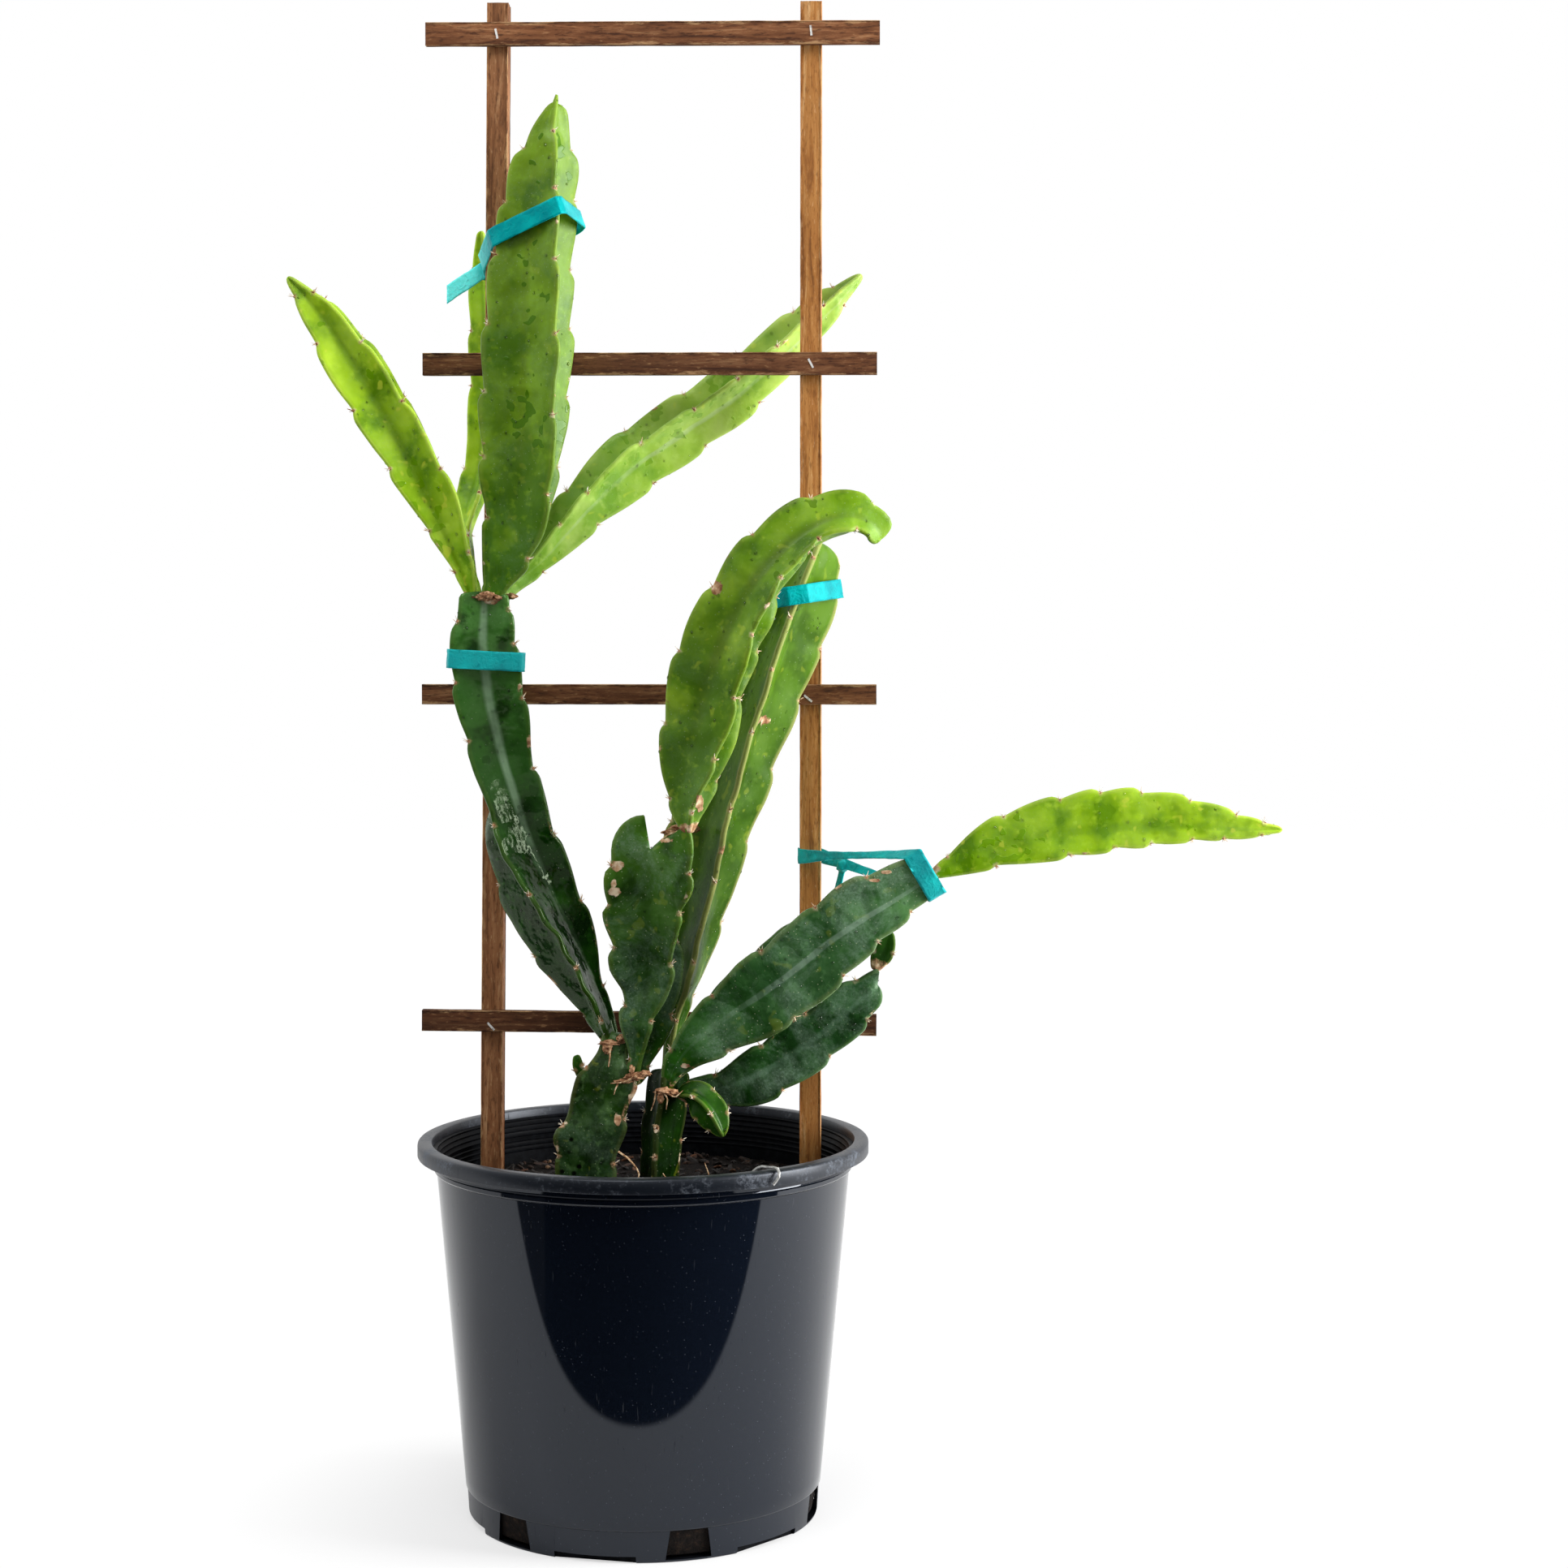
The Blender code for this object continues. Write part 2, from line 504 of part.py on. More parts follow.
def stem_ring(spec, dense, run, at, swell):
    """Nine points round a stem: two on each rib's margin and one in each valley."""
    span = run[-1]
    centre, along, side, front = axes_at(dense, run, at)
    start = foot_length(spec)
    points = []
    share = max(0.0, (at - start) / (span - start))
    turns = [math.radians(profile(r["turn"], share)) for r in spec["ribs"]]
    if start and at <= start:
        radius = stub_radius(spec) + swell
        angles = [turns[0] + math.radians(40 * k - 20) for k in range(9)]
        return centre, [centre + radius * (math.cos(a) * side + math.sin(a) * front) for a in angles]
    order = sorted(range(3), key=lambda k: (turns[k] - turns[0]) % math.tau)
    reaches = [rib_reach(spec, r, at, span) + swell for r in spec["ribs"]]
    for place_in_ring, k in enumerate(order):
        following = order[(place_in_ring + 1) % 3]
        outward = math.cos(turns[k]) * side + math.sin(turns[k]) * front
        across = -math.sin(turns[k]) * side + math.cos(turns[k]) * front
        half = min(spec["edge"], 0.5 * reaches[k]) + swell
        lift = crown_lift(spec, spec["ribs"][k], at, span) * along
        points.append(centre + reaches[k] * outward - half * across + lift)
        points.append(centre + reaches[k] * outward + half * across + lift)
        gap = (turns[following] - turns[k]) % math.tau
        middle = turns[k] + gap / 2
        valley = min(spec["core"] * end_round(spec, at, span), 0.86 * min(reaches[k], reaches[following]))
        valley = float(valley * (1.0 if gap < 2.2 else 0.85) + swell)
        points.append(centre + valley * (math.cos(middle) * side + math.sin(middle) * front) + 0.2 * lift)
    return centre, points


def crown_lift(spec, rib_spec, at, span):
    """How far a rib's margin stands forward of its ring, where the rib outgrows the cut end."""
    rise_from = span - CROWN_RISE
    if not rib_spec["crown"] or at < rise_from:
        return 0.0
    return float(rib_spec["crown"] * ((at - rise_from) / CROWN_RISE) ** 2)


def stem_solid(name, spec, collection, material=None, swell=0.0, length=None):
    """A stem as a loft through its rings, or only its first stretch, swollen, as a cutter."""
    dense, run = stem_frame(spec)
    span = run[-1]
    bm = bmesh.new()
    rings = []
    centres = []
    for at in ring_places(spec, span):
        if length is not None and at > length:
            break
        centre, points = stem_ring(spec, dense, run, at, swell)
        rings.append([bm.verts.new(Vector(p) * MM) for p in points])
        centres.append(centre)
    for low, high in zip(rings, rings[1:]):
        for i in range(len(low)):
            j = (i + 1) % len(low)
            bm.faces.new((low[i], low[j], high[j], high[i]))
    _, along, _, _ = axes_at(dense, run, 0.0)
    for vert in rings[0]:
        vert.co -= swell * along * MM
    for ring, centre, outward in ((rings[0], centres[0] - swell * along, -1), (rings[-1], centres[-1], 1)):
        middle = bm.verts.new(Vector(centre) * MM)
        for i in range(len(ring)):
            j = (i + 1) % len(ring)
            bm.faces.new((ring[j], ring[i], middle) if outward < 0 else (ring[i], ring[j], middle))
    bmesh.ops.recalc_face_normals(bm, faces=bm.faces)
    bmesh.ops.triangulate(bm, faces=bm.faces)
    return new_object(name, bm, collection, material)


def spine(spec, dense, run, rib_spec, at, lean, spread, group):
    """One three-sided spine that stands out of an areole, with its root sunk in."""
    centre, along, side, front = axes_at(dense, run, at)
    span = run[-1]
    start = foot_length(spec)
    turn = math.radians(profile(rib_spec["turn"], (at - start) / (span - start)))
    outward = math.cos(turn) * side + math.sin(turn) * front
    across = -math.sin(turn) * side + math.cos(turn) * front
    reach = rib_reach(spec, rib_spec, at, span)
    lift = crown_lift(spec, rib_spec, at, span)
    root = centre + (reach - SPINE_ROOT) * outward + lift * along
    direction = (outward + lean * along + spread * across).normalized()
    bm = bmesh.new()
    bmesh.ops.create_cone(bm, cap_ends=True, segments=3, radius1=SPINE_RADIUS * MM,
                          radius2=SPINE_TIP_RADIUS * MM, depth=(SPINE_LENGTH + SPINE_ROOT) * MM)
    middle = root + direction * (SPINE_LENGTH + SPINE_ROOT) / 2
    turn_to = direction.to_track_quat("Z", "Y").to_matrix().to_4x4()
    bmesh.ops.transform(bm, matrix=Matrix.Translation(middle * MM) @ turn_to, verts=bm.verts)
    return new_object(f"spine_{len(group.objects)}", bm, group)


def add_spines(obj, spec, seed):
    """Joins the spines to their stem with one union."""
    dense, run = stem_frame(spec)
    draw = random.Random(seed)
    group = bpy.data.collections.new("spines")
    bpy.context.scene.collection.children.link(group)
    for rib_spec in spec["ribs"]:
        for at in rib_spec["areoles"]:
            lean, spread = draw.uniform(-0.5, 0.5), draw.uniform(-0.7, 0.7)
            spine(spec, dense, run, rib_spec, at, lean, spread, group)
    union = obj.modifiers.new("spines", "BOOLEAN")
    union.operation = "UNION"
    union.operand_type = "COLLECTION"
    union.collection = group
    apply_modifiers(obj)
    for made in list(group.objects):
        bpy.data.objects.remove(made)
    bpy.data.collections.remove(group)


def build_pot(material):
    wall = POT_WALL
    slope = (SHOULDER_RADIUS - LEDGE_RADIUS) / (RIDGE_HEIGHT - 3.0 - LEDGE_HEIGHT)
    skirt_low = POT_HEIGHT - RIM_SKIRT_HEIGHT
    neck_radius = RIM_INNER_RADIUS + wall
    outside = [
        (RIM_INNER_RADIUS + 0.8, POT_HEIGHT), (RIM_RADIUS - 1.0, POT_HEIGHT),
        (RIM_RADIUS, POT_HEIGHT - 1.2), (RIM_RADIUS, skirt_low),
        (RIM_RADIUS - 2.0, skirt_low), (RIM_RADIUS - 2.0, POT_HEIGHT - 2.2),
        (neck_radius, POT_HEIGHT - 2.2), (neck_radius, POT_HEIGHT - 6.0),
        (SHOULDER_RADIUS + 0.4, RIDGE_HEIGHT + 2.5), (SHOULDER_RADIUS + 1.8, RIDGE_HEIGHT + 1.2),
        (SHOULDER_RADIUS + 1.8, RIDGE_HEIGHT - 1.2), (SHOULDER_RADIUS, RIDGE_HEIGHT - 2.4),
        (LEDGE_RADIUS, LEDGE_HEIGHT + 0.8), (LEDGE_RADIUS - 1.0, LEDGE_HEIGHT),
        (FOOT_RADIUS, 1.0), (FOOT_RADIUS - 1.0, 0.0), (0.0, 0.0),
    ]
    inside = [
        (0.0, POT_FLOOR), (FOOT_RADIUS - wall - 1.0, POT_FLOOR), (FOOT_RADIUS - wall, POT_FLOOR + 1.0),
        (LEDGE_RADIUS - wall, LEDGE_HEIGHT), (SHOULDER_RADIUS - wall, RIDGE_HEIGHT - 2.4),
        (SHOULDER_RADIUS - wall + 0.4 + slope, RIDGE_HEIGHT + 3.5), (RIM_INNER_RADIUS, POT_HEIGHT - 5.0),
        (RIM_INNER_RADIUS, POT_HEIGHT - 0.8),
    ]
    pot = turned("pot", inside + outside, parts, material)
    tall = LEDGE_HEIGHT - DRAIN_FROM
    for k in range(DRAIN_HOLES):
        angle = math.radians(DRAIN_FIRST_ANGLE + k * 360.0 / DRAIN_HOLES - 90.0)
        half_low, half_high = DRAIN_WIDTH_LOW / 2, DRAIN_WIDTH_HIGH / 2
        outline = [(-half_low, 0), (half_low, 0), (half_high, tall), (-half_high, tall)]
        hole = prism(f"drain_hole_{k}", outline, 24.0, cutters)
        outward = Matrix.Translation((LEDGE_RADIUS * MM, 0, DRAIN_FROM * MM))
        upright = Matrix.Rotation(math.pi / 2, 4, "Z") @ Matrix.Rotation(math.pi / 2, 4, "X")
        hole.matrix_world = Matrix.Rotation(angle, 4, "Z") @ outward @ upright
        cut(pot, hole)
        slit_depth = FOOT_RADIUS + 6.0 - SLIT_INNER_RADIUS
        slit = box(f"foot_slit_{k}", (slit_depth, SLIT_WIDTH, SLIT_HEIGHT + 1.0), (0, 0, 0), cutters)
        middle = ((SLIT_INNER_RADIUS + slit_depth / 2) * MM, 0, (SLIT_HEIGHT - 1.0) / 2 * MM)
        slit_turn = Matrix.Rotation(angle + math.pi / DRAIN_HOLES, 4, "Z")
        slit.matrix_world = slit_turn @ Matrix.Translation(middle)
        cut(pot, slit)


def pot_inner_radius(height):
    low = FOOT_RADIUS - POT_WALL
    high = SHOULDER_RADIUS - POT_WALL
    ledge = LEDGE_RADIUS - POT_WALL
    return float(np.interp(height, [POT_FLOOR, LEDGE_HEIGHT, RIDGE_HEIGHT - 2.4], [low, ledge, high]))


def build_soil(material):
    """The potting mix, level with a slight mound, with a plain hole for each rooted stem."""
    gap = SOIL_CLEARANCE
    edge = pot_inner_radius(SOIL_TOP) - gap
    corner = POT_FLOOR + 1.4
    profile_down = [
        (0.0, SOIL_TOP), (60.0, SOIL_TOP), (edge - 14.0, SOIL_TOP - 0.6), (edge - 0.4, SOIL_TOP - 2.5),
        (pot_inner_radius(LEDGE_HEIGHT) - gap - 0.2, LEDGE_HEIGHT),
        (pot_inner_radius(corner) - gap - 0.6, corner),
        (pot_inner_radius(POT_FLOOR) - gap - 2.2, POT_FLOOR + FIT_GAP), (0.0, POT_FLOOR + FIT_GAP),
    ]
    soil = turned("soil", profile_down, parts, material)
    for spec in STEMS:
        if spec["stub"] is not None:
            x, y, z = spec["path"][0]
            radius = stub_radius(spec) + FIT_GAP
            bpy.ops.mesh.primitive_cylinder_add(vertices=24, radius=radius * 1.02 * MM, depth=80 * MM)
            bpy.context.active_object.location = (x * MM, y * MM, (z - FIT_GAP + 40) * MM)
            hole = bpy.context.active_object
            hole.name = "hole_" + spec["name"]
            cut(soil, place(hole, cutters))
    return soil


def pointed_stake(name, grow, collection, material=None):
    """A square stake with a cut point at its foot, about its own middle."""
    half, point, end = STAKE_WIDTH / 2 + grow, STAKE_POINT_WIDTH / 2 + grow, STAKE_LENGTH / 2 + grow
    bm = bmesh.new()
    rings = []
    for reach, z in ((point, -end), (half, STAKE_POINT_LENGTH - end), (half, end)):
        corners = ((-reach, -reach), (reach, -reach), (reach, reach), (-reach, reach))
        rings.append([bm.verts.new((x * MM, y * MM, z * MM)) for x, y in corners])
    for low, high in zip(rings, rings[1:]):
        for i in range(4):
            j = (i + 1) % 4
            bm.faces.new((low[i], low[j], high[j], high[i]))
    bm.faces.new(rings[0][::-1])
    bm.faces.new(rings[-1])
    return new_object(name, bm, collection, material)


def build_trellis(soil, wood_left, wood_right, wood_bars, steel):
    """Two stakes in the soil, with crossbars stapled to their camera side."""
    frame = bpy.data.objects.new("trellis", None)
    parts.objects.link(frame)
    frame.location = (0.0, TRELLIS_FRONT * MM, 0.0)
    frame.rotation_euler = (0.0, 0.0, math.radians(TRELLIS_YAW))
    stake_y = CROSSBAR_DEPTH + FIT_GAP + STAKE_WIDTH / 2
    middle_z = STAKE_FOOT + STAKE_LENGTH / 2
    stakes = []
    for name, x, lean, wood in (("stake_left", LEFT_STAKE_X, LEFT_STAKE_LEAN, wood_left),
                                ("stake_right", RIGHT_STAKE_X, RIGHT_STAKE_LEAN, wood_right)):
        stake = pointed_stake(name, 0.0, parts, wood)
        hole = pointed_stake("hole_" + name, FIT_GAP, cutters)
        for piece in (stake, hole):
            piece.parent = frame
            piece.location = (x * MM, stake_y * MM, middle_z * MM)
            piece.rotation_euler = (0.0, math.radians(lean), 0.0)
        cut(soil, hole)
        stakes.append(stake)
    for k, level in enumerate(CROSSBAR_LEVELS):
        centre_x = (LEFT_STAKE_X + RIGHT_STAKE_X) / 2 + CROSSBAR_OFFSETS[k]
        bar = box(f"crossbar_{k + 1}", (CROSSBAR_LENGTH, CROSSBAR_DEPTH, CROSSBAR_HEIGHTS[k]),
                  (centre_x, CROSSBAR_DEPTH / 2, level), parts, wood_bars)
        bar.parent = frame
        bar.rotation_euler = (0.0, math.radians(CROSSBAR_TILTS[k]), 0.0)
        for stake, slant, (aside, above) in zip(stakes, STAPLE_SLANTS[k], STAPLE_OFFSETS[k]):
            leaned = math.tan(stake.rotation_euler.y) * (level - middle_z)
            x = stake.location.x / MM + leaned + aside
            name = stake.name.replace("stake", f"staple_{k + 1}")
            build_staple(name, (x, level + above), slant, frame, (bar, stake), steel)


def staple_outline(grow):
    """A U seen from its side: a crown along X and two legs along Y."""
    half = STAPLE_CROWN / 2 + grow
    inner = half - STAPLE_WIRE - 2 * grow
    leg = STAPLE_LEG + grow
    crown = STAPLE_WIRE + grow
    return [(-half, -grow), (half, -grow), (half, leg), (inner, leg), (inner, crown), (-inner, crown),
            (-inner, leg), (-half, leg)]


def build_staple(name, at, slant, frame, held, steel):
    """A staple through a crossbar into its stake, with the slots that it sits in."""
    x, z = at
    driven = Matrix.Translation((x * MM, STAPLE_SINK * MM, z * MM))
    turn_in = driven @ Matrix.Rotation(math.radians(slant), 4, "Y")
    staple = prism(name, staple_outline(0.0), STAPLE_WIRE, parts, steel)
    slot = prism("slot_" + name, staple_outline(FIT_GAP), STAPLE_WIRE + 2 * FIT_GAP, cutters)
    for piece in (staple, slot):
        piece.parent = frame
        piece.matrix_local = turn_in
    for wood in held:
        cut(wood, slot)


def crossing_points(obj, point, normal, offsets):
    """Where an object's edges cross the planes at the given offsets from a point, along a normal."""
    evaluated = obj.evaluated_get(bpy.context.evaluated_depsgraph_get())
    mesh = evaluated.to_mesh()
    world = [evaluated.matrix_world @ v.co for v in mesh.vertices]
    found = []
    for edge in mesh.edges:
        a, b = (world[i] for i in edge.vertices)
        da, db = (a - point).dot(normal), (b - point).dot(normal)
        for offset in offsets:
            if (da - offset) * (db - offset) < 0:
                found.append(a.lerp(b, (offset - da) / (db - da)))
    evaluated.to_mesh_clear()
    return found


def hull_loop(flat):
    """Convex outline of flat points, counter-clockwise."""
    ordered = sorted(set((round(x, 6), round(y, 6)) for x, y in flat))

    def half(points):
        line = []
        for p in points:
            while len(line) > 1 and ((line[-1][0] - line[-2][0]) * (p[1] - line[-2][1])
                                     - (line[-1][1] - line[-2][1]) * (p[0] - line[-2][0])) <= 0:
                line.pop()
            line.append(p)
        return line[:-1]

    return half(ordered) + half(ordered[::-1])


def corner_angles(loop):
    """Each corner of the outline with the directions that its rounded corner faces."""
    count = len(loop)
    for i in range(count):
        before, here, after = (Vector(loop[(i + k) % count]) for k in (-1, 0, 1))
        into, out = (here - before).normalized(), (after - here).normalized()
        start = math.atan2(-into.x, into.y)
        sweep = (math.atan2(-out.x, out.y) - start) % math.tau
        steps = max(1, math.ceil(math.degrees(sweep) / CORNER_STEP))
        yield loop[i], [start + sweep * k / steps for k in range(steps + 1)]


def offset_loop(loop, distance):
    """The outline moved outwards, with its corners rounded."""
    return [Vector(corner) + distance * Vector((math.cos(angle), math.sin(angle)))
            for corner, angles in corner_angles(loop) for angle in angles]


def loop_corners(loop):
    """The corner that each point of the moved outline comes from."""
    return [corner for corner, angles in corner_angles(loop) for _ in angles]


def build_tape_loop(name, point, normal, grips, material):
    """Tape pulled tight round the gripped pieces: a band on their convex outline.

    Each grip is an object, the point and direction at which the tape goes round it, how far the
    outline also clears the object before the tape, and the tape's width there. The outline is taken
    in the plane through the given point, and the tape twists between grips that differ.
    """
    normal = Vector(normal).normalized()
    point = Vector(point) * MM
    right = Vector((1.0, 0.0, 0.0))
    across = (right - right.dot(normal) * normal).normalized()
    up = normal.cross(across)
    held = {}
    for obj, grip_point, grip_normal, before, width in grips:
        half = width / 2 * MM
        grip_point = Vector(grip_point) * MM
        direction = Vector(grip_normal).normalized()
        levels = (-half - before * MM, -half, -half / 2, 0.0, half / 2, half)
        for p in crossing_points(obj, grip_point, direction, levels):
            flat = p - (p - grip_point).dot(direction) * direction - point
            held[(round(flat.dot(across), 6), round(flat.dot(up), 6))] = (flat.dot(normal), half * direction)
    loop = hull_loop(held)
    stations = []
    inside = offset_loop(loop, TAPE_CLEARANCE * MM)
    outside = offset_loop(loop, (TAPE_CLEARANCE + TAPE_THICKNESS) * MM)
    for inner, outer, corner in zip(inside, outside, loop_corners(loop)):
        lift, reach = held[corner]
        lines = [point + x * across + y * up + lift * normal for x, y in (inner, outer)]
        stations.append((lines[0], lines[1], reach))
    return band(name, twisted(stations), material)


def twisted(stations):
    """The stations of a closed band, with more of them, drawn narrower, wherever the band twists."""
    made = []
    for here, following in zip(stations, stations[1:] + stations[:1]):
        made.append(here)
        if here[2].normalized().dot(following[2].normalized()) < 0.999:
            for k in range(1, TWIST_STEPS):
                share = k / TWIST_STEPS
                inner, outer, reach = (a.lerp(b, share) for a, b in zip(here, following))
                made.append((inner, outer, reach * (1.0 - TWIST_PINCH * math.sin(math.pi * share))))
    return made


def band(name, stations, material):
    """A closed band from its inner and outer points, each with half its width as a vector."""
    bm = bmesh.new()
    rings = []
    for inner, outer, reach in stations:
        corners = (inner - reach, outer - reach, outer + reach, inner + reach)
        rings.append([bm.verts.new(p) for p in corners])
    for here, following in zip(rings, rings[1:] + rings[:1]):
        for i in range(4):
            j = (i + 1) % 4
            bm.faces.new((here[i], here[j], following[j], following[i]))
    bmesh.ops.recalc_face_normals(bm, faces=bm.faces)
    bmesh.ops.triangulate(bm, faces=bm.faces)
    return new_object(name, bm, parts, material)


def tape_end(tie, name, path, width_direction, width):
    """Adds a loose end of tape to a tie, along a few points, joined with a union."""
    bm = bmesh.new()
    direction = Vector(width_direction).normalized() * width / 2
    rings = []
    for i, p in enumerate(path):
        here = Vector(p)
        along = (Vector(path[min(i + 1, len(path) - 1)]) - Vector(path[max(i - 1, 0)])).normalized()
        thick = along.cross(direction).normalized() * TAPE_THICKNESS / 2
        low, high = here - direction, here + direction
        corners = (low - thick, high - thick, high + thick, low + thick)
        rings.append([bm.verts.new(c * MM) for c in corners])
    for here, following in zip(rings, rings[1:]):
        for i in range(4):
            j = (i + 1) % 4
            bm.faces.new((here[i], here[j], following[j], following[i]))
    bm.faces.new(rings[0])
    bm.faces.new(rings[-1])
    bmesh.ops.recalc_face_normals(bm, faces=bm.faces)
    bmesh.ops.triangulate(bm, faces=bm.faces)
    end = new_object(name, bm, cutters)
    cut(tie, end, "UNION")


def build_ties(stems, material):
    """Four ties of soft tape, each round one stem and one stake."""
    objects = bpy.data.objects
    left, right = objects["stake_left"], objects["stake_right"]
    upright, lower = stems["left_arm_upright"], stems["left_arm_lower"]
    tall, arm = stems["tall_back_stem"], stems["right_arm"]
    slope, at = (-0.33, 0.25, 1.0), (-91, 45, 785)
    grips = [(upright, at, slope, 0, TAPE_WIDTH), (left, at, slope, 0, TAPE_WIDTH)]
    upper_tie = build_tape_loop("tie_upper_left", at, slope, grips, material)
    tape_end(upper_tie, "tie_upper_left_end", UPPER_TAIL, (0.0, 0.0, 1.0), TAPE_WIDTH)
    level, at = (0.05, 0.0, 1.0), (-91, 45, 527.5)
    grips = [(lower, at, level, 0, TAPE_WIDTH), (left, at, level, 0, TAPE_WIDTH)]
    build_tape_loop("tie_lower_left", at, level, grips, material)
    rise, at = (-0.16, 0.0, 1.0), (104, 45, 570)
    grips = [(tall, at, rise, 2, TAPE_WIDTH), (right, at, rise, 0, TAPE_WIDTH)]
    build_tape_loop("tie_upper_right", at, rise, grips, material)
    middle, at = (0.5, 0.25, 0.86), (104, 45, 400.5)
    grips = [(right, (104, 45, 402.5), (0.0, 0.0, 1.0), 0, NARROW_TAPE_WIDTH),
             (arm, (175, -26, 394), (0.86, 0.0, 0.5), 3, TAPE_WIDTH)]
    lower_tie = build_tape_loop("tie_lower_right", at, middle, grips, material)
    bpy.ops.mesh.primitive_ico_sphere_add(subdivisions=1, radius=KNOT_RADIUS * MM)
    knot = place(bpy.context.active_object, cutters)
    knot.name = "tie_lower_right_knot"
    knot.location = Vector(KNOT_AT) * MM
    cut(lower_tie, knot, "UNION")
    tape_end(lower_tie, "tie_lower_right_end", KNOT_TAIL, (0.73, -0.68, 0.1), KNOT_TAIL_WIDTH)


def build_wire_hook(material):
    """A short piece of wire bent over the pot's rim."""
    curve = bpy.data.curves.new("rim_wire", "CURVE")
    curve.dimensions = "3D"
    curve.bevel_depth = WIRE_WIDTH / 2 * MM
    curve.bevel_resolution = 2
    curve.use_fill_caps = True
    dense, run = spline(WIRE_PATH)
    path = sample(dense, run, np.linspace(0.0, run[-1], WIRE_POINTS))
    line = curve.splines.new("POLY")
    line.points.add(len(path) - 1)
    angle = math.radians(WIRE_ANGLE - 90.0)
    for point, (out, along, up) in zip(line.points, path):
        x = out * math.cos(angle) - along * math.sin(angle)
        y = out * math.sin(angle) + along * math.cos(angle)
        point.co = (x * MM, y * MM, up * MM, 1.0)
    made = bpy.data.objects.new("rim_wire", curve)
    shade_round(curve_to_mesh(made, parts, material))


def main():
    clear_scene()
    finishes = {
        "pot": finish("pot_black_plastic", "#1A1E25", 0.28),
        "soil": finish("potting_mix", "#1C1512", 0.95),
        "wood_dark": finish("wood_stained_dark", "#5E3B22", 0.75),
        "wood_light": finish("wood_stained_light", "#9A6336", 0.75),
        "steel": finish("staple_steel", "#55524E", 0.4, 1.0),
        "tape": finish("garden_tape", "#00A8A0", 0.35),
        "wire": finish("galvanised_wire", "#8C8B88", 0.45, 1.0),
        "stem_mature": finish("stem_mature", "#2E5A22", 0.4),
        "stem_dark": finish("stem_dark", "#1E4A22", 0.3),
        "stem_grey_green": finish("stem_grey_green", "#2B5534", 0.4),
        "stem_upright": finish("stem_upright", "#4F7F2E", 0.4),
        "stem_light": finish("stem_light", "#5E8F2C", 0.4),
        "stem_young": finish("stem_young", "#84B03A", 0.35),
    }
    build_pot(finishes["pot"])
    soil = build_soil(finishes["soil"])
    dark, light = finishes["wood_dark"], finishes["wood_light"]
    build_trellis(soil, dark, light, dark, finishes["steel"])
    stems = {}
    for seed, spec in enumerate(STEMS):
        obj = stem_solid(spec["name"], spec, parts, finishes[spec["finish"]])
        add_spines(obj, spec, seed)
        shade_round(obj)
        stems[spec["name"]] = obj
        if spec["grows_on"]:
            seat = stem_solid("seat_" + spec["name"], spec, cutters, swell=SEAT_GAP, length=SEAT_DEPTH)
            cut(stems[spec["grows_on"]], seat, solver="MANIFOLD")
    build_ties(stems, finishes["tape"])
    build_wire_hook(finishes["wire"])


main()
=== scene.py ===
"""Looks of a potted dragon fruit cactus on a small wooden ladder trellis.

Lengths in the tables are in millimetres, on the same values as the solids. -Y faces the viewer.
"""

import math

import bmesh
import bpy
import numpy as np
from mathutils import Matrix, Vector, noise


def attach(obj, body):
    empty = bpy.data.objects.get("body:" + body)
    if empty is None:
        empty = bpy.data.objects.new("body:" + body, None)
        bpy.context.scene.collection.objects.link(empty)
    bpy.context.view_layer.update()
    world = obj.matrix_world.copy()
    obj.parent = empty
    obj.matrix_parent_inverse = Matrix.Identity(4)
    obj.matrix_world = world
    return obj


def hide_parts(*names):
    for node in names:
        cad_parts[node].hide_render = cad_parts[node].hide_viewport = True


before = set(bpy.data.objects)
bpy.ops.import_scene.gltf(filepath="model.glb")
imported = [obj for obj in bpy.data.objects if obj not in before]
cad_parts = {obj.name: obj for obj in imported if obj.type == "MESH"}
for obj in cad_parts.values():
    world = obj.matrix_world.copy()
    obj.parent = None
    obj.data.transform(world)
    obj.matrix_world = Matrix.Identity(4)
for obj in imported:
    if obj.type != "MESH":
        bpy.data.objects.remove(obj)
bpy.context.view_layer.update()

MM = 0.001
TOWARD_VIEWER = Vector((0.0, -1.0, 0.0))

# Camera: level, at the height of the middle of the stems
CAMERA_PLACE = (0.0874, -1.785, 0.547)
CAMERA_LENS = 65.74
CAMERA_SHIFT_Y = -0.0983

# Front edge of the pale table top, in metres, and the width of its soft edge. In front of it the floor
# is painted dark, as painted shade of the unlit room.
TABLE_EDGE = -0.286
TABLE_BLUR = 0.004

# Softboxes: place, aim, size in metres, power in watts, and whether it shows in gloss
SOFTBOXES = {
    "softbox_left": ((-1.95, -0.40, 0.75), (0.0, 0.0, 0.40), (1.1, 1.9), 14.0, False),
    "softbox_right": ((2.05, -0.35, 0.70), (0.1, 0.0, 0.40), (1.1, 1.9), 104.0, True),
    "softbox_above": ((-0.25, -0.85, 1.95), (0.0, 0.0, 0.45), (0.9, 0.7), 12.0, True),
}

